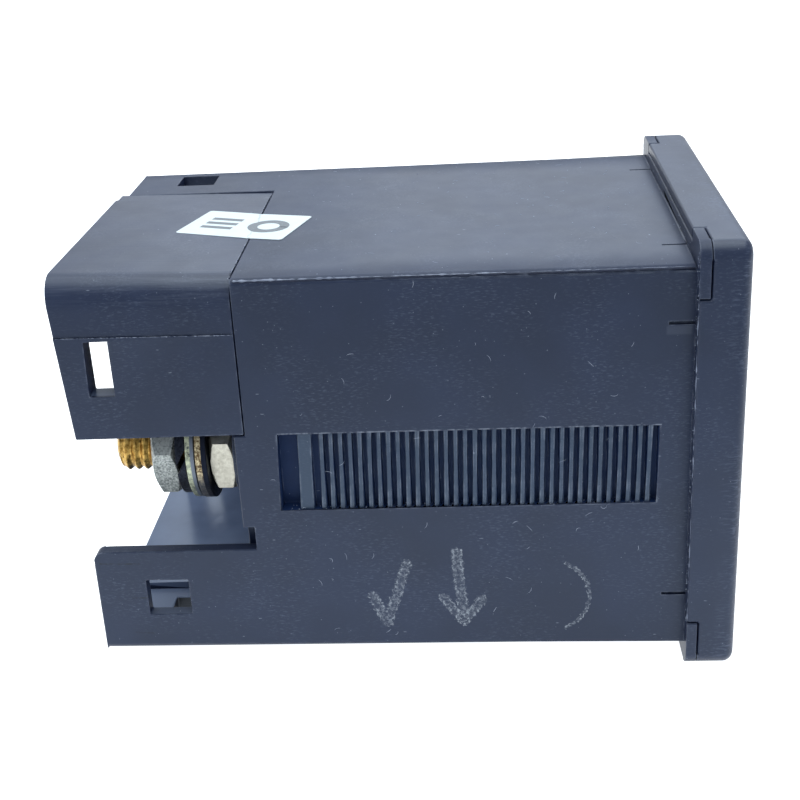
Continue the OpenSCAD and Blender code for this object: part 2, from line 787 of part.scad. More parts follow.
// Screw with a slotted pan head in front of y and its shank behind
module slotted_screw(r, head_r, h, y, length) {
  difference() {
    bar(head_r, y - h, y);
    block(-head_r - over, head_r + over, y - h - over, y - h / 2, -head_r / 6, head_r / 6);
  }
  bar(r, y - h / 4, y + length);
}

module dial_screws() color(zinc)
  for (s = dial_screw_seats) {
    c = seat_centre(s);
    translate([c.x, 0, c.y])
      slotted_screw(screw_r, screw_head_r, dial_head_h, dial_y, screw_len - screw_tip_gap);
  }

// Movement frame and bridge

frame_margin = 0.4;
module frame_outline() {
  ear = boss_half - fit;
  edge = 3 * fit;
  difference() {
    translate([pivot_x - leg_out, edge - inner_z])
      square([leg_out + pivot_inset - edge, pivot_inset + bobbin_r + frame_margin - edge]);
    translate([band_x - edge, -band_z - 2 * fit]) square([wall + track_back, inner_z]);
  }
  for (b = [right_boss, lower_boss]) translate(b) circle(ear);
  translate([right_boss.x - ear, pivot_z]) square([2 * ear, right_boss.y - pivot_z]);
  translate([lower_boss.x, lower_boss.y - ear]) square([pivot_x - lower_boss.x, 2 * ear]);
}

module movement_frame() color([0.16, 0.16, 0.17])
  difference() {
    union() {
      slab(frame_y, bobbin_y) frame_outline();
      at_pivot() {
        bar(bobbin_bore_d / 2 - fit, bobbin_y - fit, bobbin_y + bobbin_flange_t);
        for (s = [-1, 1]) polar(s * bridge_span / 2, bridge_turn)
          bar(post_d / 2, bridge_y + bridge_t, frame_y + fit);
        for (turn = leg_turns) {
          polar(leg_out, turn) bar(leg_d / 2, bobbin_y - fit, bar_back);
          slab(cup_back, bar_back) rotate(turn) translate([0, -leg_d / 2]) square([leg_out, leg_d]);
        }
        bar(rear_bearing_r + bearing_wall, cup_back, bar_back);
      }
    }
    at_pivot() {
      bar(spindle_d / 2 + bearing_wall, frame_y - over, bobbin_y + bobbin_flange_t + over);
      bar(rear_bearing_r + run, cup_back - over, bar_back + over);
      for (s = [-1, 1]) polar(s * bridge_span / 2, bridge_turn)
        bar(small_screw_r + run, bridge_y, frame_y + frame_t / 2);
    }
    screw_hole(right_boss, frame_y);
    screw_hole(lower_boss, frame_y);
  }

module movement_screws() color(zinc)
  for (b = [right_boss, lower_boss])
    translate([b.x, 0, b.y])
      slotted_screw(screw_r, screw_head_r, head_h, frame_y, frame_t + screw_len - screw_tip_gap);

module front_bridge() color(brass)
  at_pivot() difference() {
    slab(bridge_y, bridge_y + bridge_t) rotate(bridge_turn) {
      square([bridge_span, bridge_w], center = true);
      for (s = [-1, 1]) translate([s * bridge_span / 2, 0]) circle(bridge_w / 2);
    }
    bar(bearing_shank_r + run, bridge_y - over, bridge_y + bridge_t + over);
    for (s = [-1, 1]) polar(s * bridge_span / 2, bridge_turn)
      bar(small_screw_r + fit, bridge_y - over, bridge_y + bridge_t + over);
  }

bridge_screw_grip = 3.4;
module bridge_screws() color(zinc)
  at_pivot() for (s = [-1, 1]) polar(s * bridge_span / 2, bridge_turn)
    slotted_screw(small_screw_r, small_head_r, small_head_h, bridge_y, bridge_t + bridge_screw_grip);

// Front bearing: a head that keeps the zero lever, a boss it turns on and a shank in the bridge
module front_bearing() color(brass)
  at_pivot() difference() {
    union() {
      bar(bearing_head_r, lever_y - layer, lever_y - run);
      bar(bearing_boss_r, lever_y - 2 * run, bridge_y);
      bar(bearing_shank_r, bridge_y - run, bridge_y + bridge_t);
    }
    bar(pivot_d / 2 + run, bridge_y + bridge_t - bore_depth, bridge_y + bridge_t + over);
    block(-bearing_head_r - over, bearing_head_r + over, lever_y - layer - over, lever_y - layer / 2,
      -slot_w / 2, slot_w / 2);
  }

// Rear bearing: a slotted screw through the bar and the cup's floor
module rear_bearing() color(brass)
  at_pivot() difference() {
    bar(rear_bearing_r, rear_bearing_y, bar_back + bearing_proud);
    bar(pivot_d / 2 + run, rear_bearing_y - over, rear_bearing_y + bore_depth + fit);
    block(-rear_bearing_r - over, rear_bearing_r + over, bar_back + bearing_proud / 2,
      bar_back + bearing_proud + over, -slot_w / 2, slot_w / 2);
  }

// Coil

module coil_bobbin() color([0.78, 0.75, 0.66])
  at_pivot() difference() {
    turned() {
      translate([bobbin_bore_d / 2, bobbin_y]) square([bobbin_wall, bobbin_len]);
      for (y = [bobbin_y, bobbin_back - bobbin_flange_t])
        translate([bobbin_bore_d / 2, y]) square([bobbin_r - bobbin_bore_d / 2, bobbin_flange_t]);
    }
    for (angle = [90, 180]) rotate([0, -angle, 0])
      block(turn_r - wire_r - fit, bobbin_r + over, coil_front + coil_len - fit, bobbin_back + over,
        -wire_r - fit, wire_r + fit);
  }

// Routes of the coil's two tails, from the last turn into each eyelet's barrel
tail_r = turn_r - fit;
tail_bend = 2;
tail_run = 7;
crimp_len = 3.6;
barrel_route = [[0, barrel_y - tail_bend - fit, barrel_z], [0, barrel_y + crimp_len, barrel_z]];
function tail_route(s, out) = concat(
  [for (y = [tail_start, barrel_y - tail_run]) [pivot_x, y, pivot_z] + tail_r * out],
  [for (p = barrel_route) p + [s * stud_pitch / 2, 0, 0]]);

// Half profile of the winding: the last layer's turns show as scallops
function scallop(i) = [for (a = [30 : 30 : 150])
  [turn_r + wire_r * sin(a), coil_front + wire_r * (1 - cos(a)) + i * wire_d]];
winding_profile = concat(
  [[bobbin_tube_r + fit, coil_front], [turn_r, coil_front]],
  [for (i = [0 : coil_turns - 1]) each scallop(i)],
  [[turn_r, coil_front + coil_len], [bobbin_tube_r + fit, coil_front + coil_len]]);

module field_coil() color(copper) {
  at_pivot() turned() polygon(winding_profile);
  wire(eased(tail_route(1, [0, 0, 1]), tail_bend), wire_r);
  wire(eased(tail_route(-1, [-1, 0, 0]), tail_bend), wire_r);
}

// Ring terminals: a ring under the bolt's head, a tab and a crimped barrel on the wire
module coil_eyelets() color(zinc)
  at_studs() difference() {
    union() {
      bar(eyelet_r, eyelet_y, inner_back);
      block(-tab_w / 2, tab_w / 2, eyelet_y, inner_back, barrel_z, 0);
      translate([0, 0, barrel_z]) bar(barrel_r, barrel_y, inner_back);
    }
    bar(washer_bore_r, eyelet_y - over, inner_back + over);
    translate([0, 0, barrel_z]) bar(wire_r + run, barrel_y - over, eyelet_y);
  }

fixed_iron_turn = 75;
fixed_iron_arc = 110;
iron_margin = 0.5;
module fixed_iron() color(iron_grey)
  at_pivot() rotate([0, fixed_iron_turn, 0]) turned(angle = fixed_iron_arc)
    translate([bobbin_bore_d / 2 - run - fixed_iron_t, bobbin_y + bobbin_flange_t + iron_margin])
      square([fixed_iron_t, bobbin_len - bobbin_flange_t - 4 * iron_margin]);

module damping_cup() color([0.7, 0.68, 0.62])
  at_pivot() difference() {
    bar(cup_d / 2, cup_y, cup_back);
    bar(cup_d / 2 - cup_wall, cup_y - over, cup_floor_y);
    bar(rear_bearing_r + run, cup_y, cup_back + over);
  }

// Moving system

module spindle() color([0.75, 0.76, 0.78])
  at_pivot() {
    bar(spindle_d / 2, spindle_front, spindle_back);
    bar(pivot_d / 2, spindle_front - spindle_gap - bore_depth + 2 * fit, spindle_front + fit);
    bar(pivot_d / 2, spindle_back - fit, spindle_back + bore_depth - fit);
  }

vane_turn = 185;
vane_arc = 30;
vane_collar = 0.5;
module moving_iron() color(iron_grey)
  at_pivot() {
    y0 = bobbin_y + (bobbin_len - moving_iron_len) / 2;
    y1 = y0 + moving_iron_len;
    vane_r = bobbin_bore_d / 2 - fixed_iron_t - run - 2 * pass;
    tube(spindle_d / 2 + vane_collar, spindle_d / 2 + run / 2, y0, y1);
    rotate([0, vane_turn, 0]) turned(angle = vane_arc)
      translate([vane_r - moving_iron_t, y0]) square([moving_iron_t, moving_iron_len]);
    rotate([0, vane_turn + vane_arc / 2, 0])
      block(spindle_d / 2 + vane_collar - fit, vane_r - moving_iron_t / 2, y0, y1,
        -moving_iron_t / 2, moving_iron_t / 2);
  }

// Pointer at zero: blade to the left, counter-arm to the right and cross-arm down
tail_arm = 6.2;
cross_arm = 4.2;
arm_w = 0.9;
module pointer() color([0.08, 0.08, 0.09])
  at_pivot() difference() {
    union() {
      bar(hub_d / 2, hub_y, hub_y + hub_len);
      slab(blade_y, blade_y + pointer_t) {
        polygon([[0, -pointer_w / 2], [-pointer_len, -pointer_tip_w / 2],
          [-pointer_len, pointer_tip_w / 2], [0, pointer_w / 2]]);
        translate([0, -arm_w / 2]) square([tail_arm, arm_w]);
        translate([-arm_w / 2, -cross_arm]) square([arm_w, cross_arm]);
      }
    }
    bar(spindle_d / 2 + run / 2, hub_y - over, hub_y + hub_len + over);
  }

// Slotted weights pushed onto the two arms
tail_weight_at = 4.7;
tail_weight_r = 1.7;
cross_weight_at = 3;
cross_weight_r = 0.95;
module balance_weights() color(brass)
  at_pivot() {
    weight(tail_weight_at, tail_weight_r);
    rotate([0, 90, 0]) weight(cross_weight_at, cross_weight_r);
  }

module weight(at, r) {
  slot = arm_w / 2 + run;
  difference() {
    translate([at, 0, 0]) bar(r, hub_y - run, hub_y + hub_len + run);
    block(0, at + r + over, blade_y - run, blade_y + pointer_t + run, -slot, slot);
  }
}

module damping_disc() color([0.8, 0.8, 0.8])
  at_pivot() tube(disc_d / 2, spindle_d / 2 + run / 2, disc_y, disc_y + disc_t);

collet_r = 1;
module spring_collet() color(brass)
  at_pivot() tube(collet_r, spindle_d / 2 + run / 2, spindle_front, spring_y + spring_h + fit);

// Flat spiral from the collet to the zero lever's stud
spiral_steps = 24;
function spiral(offset) = [for (i = [0 : spring_turns * spiral_steps])
  let (t = i / (spring_turns * spiral_steps), a = 135 + 360 * spring_turns * (1 - t),
    r = collet_r + run + spring_t + (spring_r - collet_r - run - spring_t) * t + offset)
    r * [cos(a), sin(a)]];
module hairspring() color([0.7, 0.55, 0.3])
  at_pivot() slab(spring_y, spring_y + spring_h)
    polygon(concat(spiral(0), [for (i = [len(spiral(0)) - 1 : -1 : 0]) spiral(-spring_t)[i]]));

// Zero adjuster

lever_ring = 1.1;
fork_cheek = 1;
fork_end = 1.4;
spring_stud = [0.75, 1.2];
module zero_lever() color([0.75, 0.72, 0.62])
  at_pivot() {
    slab(lever_y, lever_y + lever_t) difference() {
      union() {
        circle(bearing_boss_r + lever_ring);
        rotate(zero_turn) translate([0, -fork_w / 2 - fork_cheek])
          square([zero_offset + zero_throw + fork_end, fork_w + 2 * fork_cheek]);
        rotate(zero_turn + 180) translate([0, -spring_stud.y / 2])
          square([spring_r + spring_stud.x, spring_stud.y]);
      }
      circle(bearing_boss_r + run);
      rotate(zero_turn) translate([zero_offset - zero_pin_d / 2, -fork_w / 2])
        square([zero_throw + zero_pin_d + fork_end + over, fork_w]);
    }
    rotate([0, -zero_turn - 180, 0])
      block(spring_r + run / 2, spring_r + spring_stud.x, lever_y, spring_y + spring_h,
        -spring_stud.y / 2, spring_stud.y / 2);
  }

module zero_screw() color([0.12, 0.12, 0.13])
  translate([zero_x, 0, zero_z]) {
    difference() {
      bar(zero_head_d / 2, -bezel_depth + fit, zero_seat_y - run);
      rotate([0, -zero_turn, 0])
        block(-zero_head_d, zero_head_d, -bezel_depth - over, -bezel_depth + zero_slot_d,
          -zero_slot_w / 2, zero_slot_w / 2);
    }
    bar(zero_shank_d / 2, zero_seat_y - fit, zero_boss_back + run);
    bar(zero_shank_d / 2 + zero_collar_w, zero_boss_back + run, pane_back + run);
    polar(zero_throw, zero_turn) bar(zero_pin_d / 2, pane_back, lever_y + lever_t + run);
  }

housing();
bezel();
window();
terminal_cover_upper();
terminal_cover_lower();
terminal_bolt_left();
terminal_bolt_right();
base_nuts();
base_washers();
lug_washers();
spring_washers();
lug_nuts();
dial_plate();
dial_screws();
movement_frame();
movement_screws();
front_bridge();
bridge_screws();
coil_bobbin();
field_coil();
coil_eyelets();
fixed_iron();
damping_cup();
front_bearing();
rear_bearing();
zero_screw();
zero_lever();
hairspring();
spindle();
moving_iron();
pointer();
balance_weights();
damping_disc();
spring_collet();
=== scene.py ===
"""Looks of a 48 mm panel ammeter: broken edges, threads, print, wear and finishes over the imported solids.

All lengths are metres in the solids' own frame. The panel seat behind the bezel is the plane Y = 0,
the dial looks along -Y, the terminals stand on the +Y end, and +Z is up. The near side is the one at -X.
"""
import functools
import math

import bmesh
import bpy
import numpy as np
from mathutils import Matrix, Vector


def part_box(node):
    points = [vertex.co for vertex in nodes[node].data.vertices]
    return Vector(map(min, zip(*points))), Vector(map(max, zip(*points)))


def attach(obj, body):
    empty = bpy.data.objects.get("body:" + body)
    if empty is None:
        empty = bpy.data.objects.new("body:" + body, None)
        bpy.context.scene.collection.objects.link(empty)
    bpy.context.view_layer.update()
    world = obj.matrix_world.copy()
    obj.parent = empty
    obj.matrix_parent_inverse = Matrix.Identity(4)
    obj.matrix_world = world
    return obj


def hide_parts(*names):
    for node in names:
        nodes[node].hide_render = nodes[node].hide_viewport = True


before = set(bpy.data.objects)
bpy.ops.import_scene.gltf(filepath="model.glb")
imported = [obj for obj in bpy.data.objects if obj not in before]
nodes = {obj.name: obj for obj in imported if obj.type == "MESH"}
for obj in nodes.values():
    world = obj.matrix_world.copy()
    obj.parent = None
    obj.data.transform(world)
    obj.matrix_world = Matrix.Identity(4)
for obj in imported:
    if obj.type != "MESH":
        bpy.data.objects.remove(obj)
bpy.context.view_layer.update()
scene = bpy.context.scene

# Slot of each solid, read before the finishes go on
SLOT_OF = {name: solid.data.materials[0].name for name, solid in nodes.items()}

MM = 0.001
MERGE = 1e-7
rng = np.random.default_rng(48)

# Places taken from the solids
COVER_LOW, COVER_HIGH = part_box("terminal_cover_upper")
COVER_FRONT, COVER_BACK, COVER_LIP = COVER_LOW.y, COVER_HIGH.y, COVER_HIGH.x
DIAL_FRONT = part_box("dial_plate")[0].y
BEZEL_LOW, BEZEL_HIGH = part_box("bezel")
BODY_SIDE = 22.4 * MM
BODY_TOP = 21.45 * MM
BODY_DEPTH = 46.0 * MM
PIVOT_X, PIVOT_Z = 13.55 * MM, -12.6 * MM


# Helpers for meshes

def grid_faces(rows, columns, wrap_columns=False):
    """Quads of a rows x columns grid of points counted row by row; wrapped columns join last to first."""
    c = np.arange(columns if wrap_columns else columns - 1)
    r, c = np.meshgrid(np.arange(rows - 1), c, indexing="ij")
    c_next = (c + 1) % columns
    quads = [r * columns + c, r * columns + c_next, (r + 1) * columns + c_next, (r + 1) * columns + c]
    return np.stack(quads, -1).reshape(-1, 4)


def repeated(faces, size, count):
    """Quads of `count` like shapes whose points follow one another, `size` points each."""
    return (faces[None] + size * np.arange(count)[:, None, None]).reshape(-1, 4)


def new_piece(name, points, faces, material, body="case", sharp_turn=35):
    """A piece from an array of points and an array of faces."""
    mesh = bpy.data.meshes.new(name)
    mesh.from_pydata(points.reshape(-1, 3).tolist(), [], faces.tolist())
    return place_mesh(name, mesh, material, body, sharp_turn)


def place_mesh(name, mesh, material, body="case", sharp_turn=35):
    """A piece from a mesh that lies in its place: points within MERGE of each other become one, faces turn
    outwards, and the shading breaks at edges that turn by more than `sharp_turn` degrees."""
    bm = bmesh.new()
    bm.from_mesh(mesh)
    bmesh.ops.remove_doubles(bm, verts=bm.verts[:], dist=MERGE)
    bmesh.ops.dissolve_degenerate(bm, edges=bm.edges[:], dist=MERGE)
    bmesh.ops.recalc_face_normals(bm, faces=bm.faces[:])
    bm.to_mesh(mesh)
    bm.free()
    mesh.shade_smooth()
    mesh.set_sharp_from_angle(angle=math.radians(sharp_turn))
    mesh.materials.clear()
    mesh.materials.append(material)
    piece = bpy.data.objects.new(name, mesh)
    scene.collection.objects.link(piece)
    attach(piece, body)
    return piece


def closed_sheet(name, top, bottom, material):
    """A thin closed sheet: two grids of points, one over the other, joined round their rim."""
    rows, columns = top.shape[:2]
    faces = grid_faces(rows, columns)
    count = rows * columns
    index = np.arange(count).reshape(rows, columns)
    rim = np.concatenate([index[0, :-1], index[:-1, -1], index[-1, :0:-1], index[:0:-1, 0]])
    walls = np.stack([rim, np.roll(rim, -1), np.roll(rim, -1) + count, rim + count], -1)
    points = np.concatenate([top.reshape(-1, 3), bottom.reshape(-1, 3)])
    return new_piece(name, points, np.concatenate([faces, faces[:, ::-1] + count, walls]), material)


def eased(node, width, material, body="case", turn=40, room=2.2, segments=2, soft=None, inlay=None):
    """Copy of a solid with broken edges: doubles merged, then each edge that turns by more than `turn`
    degrees is rounded by `width`, where the faces on both sides reach `room` widths away from it.
    Soft is a greater width and a test of the edge's middle that says where it holds; an inlay is a second
    material and a test of a face's middle that says where it goes."""
    mesh = nodes[node].data.copy()
    mesh.materials.clear()
    mesh.materials.append(material)
    if inlay is not None:
        mesh.materials.append(inlay[0])
    piece = bpy.data.objects.new(f"{node}_finished", mesh)
    scene.collection.objects.link(piece)
    widest = width if soft is None else soft[0]
    bm = bmesh.new()
    bm.from_mesh(mesh)
    bmesh.ops.remove_doubles(bm, verts=bm.verts[:], dist=MERGE)
    weight = bm.edges.layers.float.new("bevel_weight_edge")
    for edge in bm.edges:
        folds = edge.is_manifold and edge.calc_face_angle() > math.radians(turn)
        edge.smooth = not folds
        reach = min(2 * face.calc_area() / edge.calc_length() for face in edge.link_faces)
        middle = (edge.verts[0].co + edge.verts[1].co) / 2
        wanted = widest if soft is not None and soft[1](middle) else width
        if folds and min(reach, edge.calc_length()) > room * wanted:
            edge[weight] = wanted / widest
    for face in bm.faces:
        face.material_index = int(inlay is not None and inlay[1](face.calc_center_median()))
    bm.to_mesh(mesh)
    bm.free()
    if "custom_normal" in mesh.attributes:
        mesh.attributes.remove(mesh.attributes["custom_normal"])
    mesh.polygons.foreach_set("use_smooth", np.ones(len(mesh.polygons), bool))
    bevel = piece.modifiers.new("broken_edges", "BEVEL")
    bevel.width = widest
    bevel.segments = segments
    bevel.limit_method = "WEIGHT"
    bevel.use_clamp_overlap = False
    bevel.harden_normals = True
    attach(piece, body)
    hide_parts(node)
    return piece


# Helpers for materials

def srgb(red, green, blue):
    """Linear colour of a screen colour from 0 to 255: the screen's curve undone."""
    c = np.array([red, green, blue]) / 255
    linear = np.where(c <= 0.04045, c / 12.92, ((c + 0.055) / 1.055) ** 2.4)
    return (*linear.tolist(), 1.0)


class Finish:
    """A procedural material whose patterns lie in the piece's own coordinates, with sizes in metres."""

    def __init__(self, name, **sockets):
        """Sockets are the shader's own, with underscores for spaces, and hold all over the piece."""
        self.material = bpy.data.materials.new(name)
        self.material.use_nodes = True
        self.tree = self.material.node_tree
        self.shader = self.tree.nodes["Principled BSDF"]
        for socket, value in sockets.items():
            self.put(socket.replace("_", " "), value)

    def add(self, kind, inputs, **settings):
        """A node of one kind, set up and with its inputs filled by name or number."""
        node = self.tree.nodes.new("ShaderNode" + kind)
        for setting, value in settings.items():
            setattr(node, setting, value)
        for key, value in inputs.items():
            self.fill(node.inputs[key], value)
        return node

    def fill(self, socket, value):
        """A socket takes another node's output, or a value that is the same all over."""
        if isinstance(value, bpy.types.NodeSocket):
            self.tree.links.new(value, socket)
        else:
            socket.default_value = value

    def put(self, socket, value):
        """Fills a socket of the shader."""
        self.fill(self.shader.inputs[socket], value)

    def at(self):
        """The piece's own coordinates."""
        return self.add("TexCoord", {}).outputs["Object"]

    def place(self, stretch=(1, 1, 1), turn=(0, 0, 0)):
        """The piece's own coordinates, stretched along each axis and then turned."""
        inputs = {"Vector": self.at(), "Scale": stretch, "Rotation": turn}
        return self.add("Mapping", inputs).outputs["Vector"]

    def axis(self, name):
        """One of the piece's own coordinates."""
        return self.add("SeparateXYZ", {"Vector": self.at()}).outputs[name]

    def facing(self, name):
        """One part of the surface's own direction."""
        way = self.add("TexCoord", {}).outputs["Normal"]
        return self.add("SeparateXYZ", {"Vector": way}).outputs[name]

    def noise(self, size, detail=3.0, rough=0.5, stretch=(1, 1, 1), turn=(0, 0, 0), warp=0.0):
        """Cloudy chance about 0.5, with lumps of about `size`."""
        inputs = {"Vector": self.place(stretch, turn), "Scale": 1 / size, "Detail": detail}
        inputs |= {"Roughness": rough, "Distortion": warp}
        return self.add("TexNoise", inputs).outputs["Fac"]

    def cells(self, size, stretch=(1, 1, 1), turn=(0, 0, 0), wobble=0.0):
        """Distance from the nearest of scattered points, in cell sizes, and that cell's own chance value;
        the points are looked for up to `wobble` away, so that the distance runs unevenly."""
        where = self.place(stretch, turn)
        if wobble:
            away = self.add("TexNoise", {"Vector": self.at(), "Scale": 4 / size}).outputs["Color"]
            away = self.vector("SUBTRACT", away, (0.5, 0.5, 0.5))
            away = self.add("VectorMath", {0: away, "Scale": wobble}, operation="SCALE").outputs["Vector"]
            where = self.vector("ADD", where, away)
        node = self.add("TexVoronoi", {"Vector": where, "Scale": 1 / size})
        chance = self.add("SeparateColor", {"Color": node.outputs["Color"]}).outputs["Red"]
        return node.outputs["Distance"], chance

    def span(self, value, low, high, out_low=0.0, out_high=1.0, way="LINEAR"):
        """Carries a value from low..high over to out_low..out_high, and holds it at both ends."""
        inputs = {"Value": value, "From Min": low, "From Max": high, "To Min": out_low, "To Max": out_high}
        return self.add("MapRange", inputs, interpolation_type=way).outputs["Result"]

    def math(self, operation, first, second=0.0):
        """One operation on two numbers."""
        return self.add("Math", {0: first, 1: second}, operation=operation).outputs[0]

    def times(self, *shares):
        """Product of shares."""
        return functools.reduce(lambda a, b: self.math("MULTIPLY", a, b), shares)

    def most(self, *shares):
        """Greatest of shares."""
        return functools.reduce(lambda a, b: self.math("MAXIMUM", a, b), shares)

    def least(self, *shares):
        """Smallest of shares."""
        return functools.reduce(lambda a, b: self.math("MINIMUM", a, b), shares)

    def vector(self, operation, first, second, result="Vector"):
        """One operation on two vectors."""
        return self.add("VectorMath", {0: first, 1: second}, operation=operation).outputs[result]

    def blend(self, share, first, second):
        """The first colour, going over to the second as the share rises from 0 to 1."""
        return self.add("Mix", {0: share, 6: first, 7: second}, data_type="RGBA").outputs[2]

    def specks(self, size, reach, chance, stretch=(1, 1, 1), turn=(0, 0, 0)):
        """Scattered spots: in `chance` of the cells, a spot of `reach` cell sizes."""
        distance, luck = self.cells(size, stretch, turn, size * reach * 1.6)
        spot = self.span(distance, reach, reach * 0.6)
        return self.times(spot, self.math("LESS_THAN", luck, chance))

    def off_line(self, first, second):
        """Distance of the surface from the straight line between two points: the offset from the first
        point, less its foot on the line, held between the line's ends."""
        way = Vector(second) - Vector(first)
        off = self.vector("SUBTRACT", self.at(), first)
        share = self.span(self.vector("DOT_PRODUCT", off, way / way.length_squared, "Value"), 0, 1)
        foot = self.add("VectorMath", {0: way, "Scale": share}, operation="SCALE").outputs["Vector"]
        return self.vector("DISTANCE", off, foot, "Value")

    def stroke(self, points, half_width):
        """A stroke drawn through points: strongest along its ragged rim, weaker inside, 0 outside."""
        nearest = self.least(*[self.off_line(a, b) for a, b in zip(points, points[1:])])
        torn = self.span(self.noise(0.35 * MM, 4), 0.3, 0.7, -0.2 * MM, 0.2 * MM)
        ragged = self.math("ADD", nearest, torn)
        inside = self.span(ragged, half_width, half_width * 0.75)
        return self.times(inside, self.span(ragged, half_width * 0.3, half_width * 0.8, 0.4, 1.0))

    def within(self, corners, soft):
        """Share of a box in the piece's own coordinates: 1 inside and 0 outside, with `soft` from one to the
        other. The box's low and high corners and soft are in millimetres."""
        sides = [self.times(self.span(self.axis(name), a * MM, (a + soft) * MM),
                            self.span(self.axis(name), b * MM, (b - soft) * MM))
                 for name, a, b in zip("XYZ", *corners)]
        return self.times(*sides)

    def bump(self, height, depth, under=None):
        """Direction of a surface that `height` raises by up to `depth`, over the bumps already under it."""
        inputs = {"Height": height, "Distance": depth, "Strength": 1.0}
        if under is not None:
            inputs["Normal"] = under
        return self.add("Bump", inputs).outputs["Normal"]

    def edges(self, radius):
        """How strongly the surface turns within `radius`: 0 on a flat, rising along an edge."""
        flat = self.add("NewGeometry", {}).outputs["Normal"]
        rounded = self.add("Bevel", {"Radius": radius}, samples=4).outputs["Normal"]
        return self.span(self.vector("DOT_PRODUCT", flat, rounded, "Value"), 0.995, 0.86)


# Finishes of the mouldings

NAVY = srgb(25, 36, 64)
NAVY_DEEP = srgb(20, 30, 56)
FLECK = srgb(88, 98, 120)
DUST = srgb(158, 168, 186)
CHALK = srgb(172, 181, 192)
# Pale blue of painted light, on ledges and floors inside the tail and the chamber
PAINTED_LIGHT_BLUE = srgb(116, 132, 162)
# Soot-dark: the dark of the scored lines, and painted shade in the strip's window
SOOT_AND_SHADE = srgb(9, 13, 26)
# Painted highlight of the rib crests
CREST_HIGHLIGHT_BLUE = srgb(109, 139, 164)
# Painted shade of the track grooves
GROOVE_SHADE_BLUE = srgb(25, 46, 86)

# The stretches over which the top goes dull: in from its long edges, and to the rear
DULL_MARGIN = 6 * MM
DULL_FROM, DULL_TO = 26 * MM, 44 * MM


def moulding(name, marks_and_painted_light, rough=(0.38, 0.42), streaks=0.0, dull=0.0, dirt=1.0, **sockets):
    """Navy moulding with a fine spark grain. Over two close tones lie drifts of short scratches, grains of
    dust on what looks up and lint, all weighed by `dirt`, and rubbed edges; the wear function given adds
    what one piece has by itself, its marks and on some pieces painted light and shade. The top is rougher by
    `dull` along its two long edges and by half of that to the rear, and lines are drawn along Y, `streaks`
    millimetres deep."""
    f = Finish(name, IOR=1.46, Specular_Tint=(0.84, 0.94, 1.0, 1.0), **sockets)
    base = f.blend(f.span(f.noise(9 * MM, 2), 0.35, 0.65), NAVY_DEEP, NAVY)
    drifts = f.span(f.noise(8 * MM, 3), 0.42, 0.60, 0.10, 1.0)
    scratches = f.noise(0.17 * MM, 3, 0.6, stretch=(1, 0.32, 1.2), turn=(0.10, 0, 0))
    looks_up = f.span(f.facing("Z"), 0.6, 0.98)
    scuffs = f.times(drifts, f.span(scratches, 0.54, 0.70), f.span(looks_up, 0, 1, 0.34 * dirt, 0.14 * dirt))
    base = f.blend(scuffs, base, FLECK)
    grains = f.span(f.noise(0.28 * MM, 4, 0.7), 0.46, 0.66)
    settled = f.span(f.noise(7 * MM, 3, 0.6), 0.48, 0.64, 0.01 * dirt, 0.08 * dirt)
    base = f.blend(f.times(looks_up, settled, grains), base, DUST)
    # Each piece's own marks, and on some pieces painted light and shade
    base = marks_and_painted_light(f, base)
    rubbed = f.times(f.edges(0.25 * MM), f.span(f.noise(1.2 * MM, 4), 0.42, 0.66, 0.0, 0.28))
    base = f.blend(rubbed, base, DUST)
    lint = f.times(f.specks(1.7 * MM, 0.060, 0.38 * dirt), 0.65)
    motes = f.times(f.specks(0.9 * MM, 0.070, 0.50 * dirt), 0.30)
    strands = f.specks(1.5 * MM, 0.06, 0.40 * dirt, stretch=(1, 0.4, 1.6), turn=(0.5, 0.2, 0.3))
    f.put("Base Color", f.blend(f.most(lint, motes, f.times(strands, 0.32)), base, DUST))
    roughness = f.span(f.noise(3 * MM, 3), 0.3, 0.7, *rough)
    if dull:
        outwards = f.math("ABSOLUTE", f.axis("X"))
        margin = f.span(outwards, BODY_SIDE - DULL_MARGIN, BODY_SIDE, 0.0, dull, "SMOOTHSTEP")
        rearwards = f.span(f.axis("Y"), DULL_FROM, DULL_TO, 0.0, 0.5 * dull, "SMOOTHSTEP")
        roughness = f.math("ADD", roughness, f.times(f.most(margin, rearwards), looks_up))
    f.put("Roughness", roughness)
    on_sides = f.span(f.facing("Z"), 0.7, 0.3)
    grain = f.bump(f.times(f.noise(0.16 * MM, 2), f.span(on_sides, 0, 1, 0.35, 1.0)), 0.004 * MM)
    grain = f.bump(f.times(drifts, scratches, on_sides), 0.020 * MM * dirt, grain)
    if streaks:
        lines = f.noise(0.35 * MM, 3, 0.6, stretch=(1, 0.03, 1))
        grain = f.bump(lines, streaks * MM, grain)
    f.put("Normal", grain)
    return f.material


# Chalky strokes on the near side, as Y and Z in millimetres, and half their width
TICK = ((33.7, -15.2), (32.3, -18.6), (29.9, -11.3))
ARROW_SHAFT = ((24.5, -10.0), (23.9, -18.2))
ARROW_HEAD = ((26.0, -15.6), (23.9, -18.6), (21.9, -15.9))
CURL_MIDDLE, CURL_R = (14.6, -15.6), 4.4
CURL = [(CURL_MIDDLE[0] - CURL_R * math.cos(a), CURL_MIDDLE[1] + CURL_R * math.sin(a))
        for a in np.linspace(1.15, -1.15, 7)]
STROKES = ((TICK, 0.62), (ARROW_SHAFT, 0.66), (ARROW_HEAD, 0.60), (CURL, 0.20))

# Scored lines on the near tail, as Y and Z in millimetres
TAIL_LINES = (((63.4, -10.5), (59.0, -10.6)), ((60.5, -19.3), (58.0, -19.5)), ((60.3, -14.9), (58.7, -14.9)))
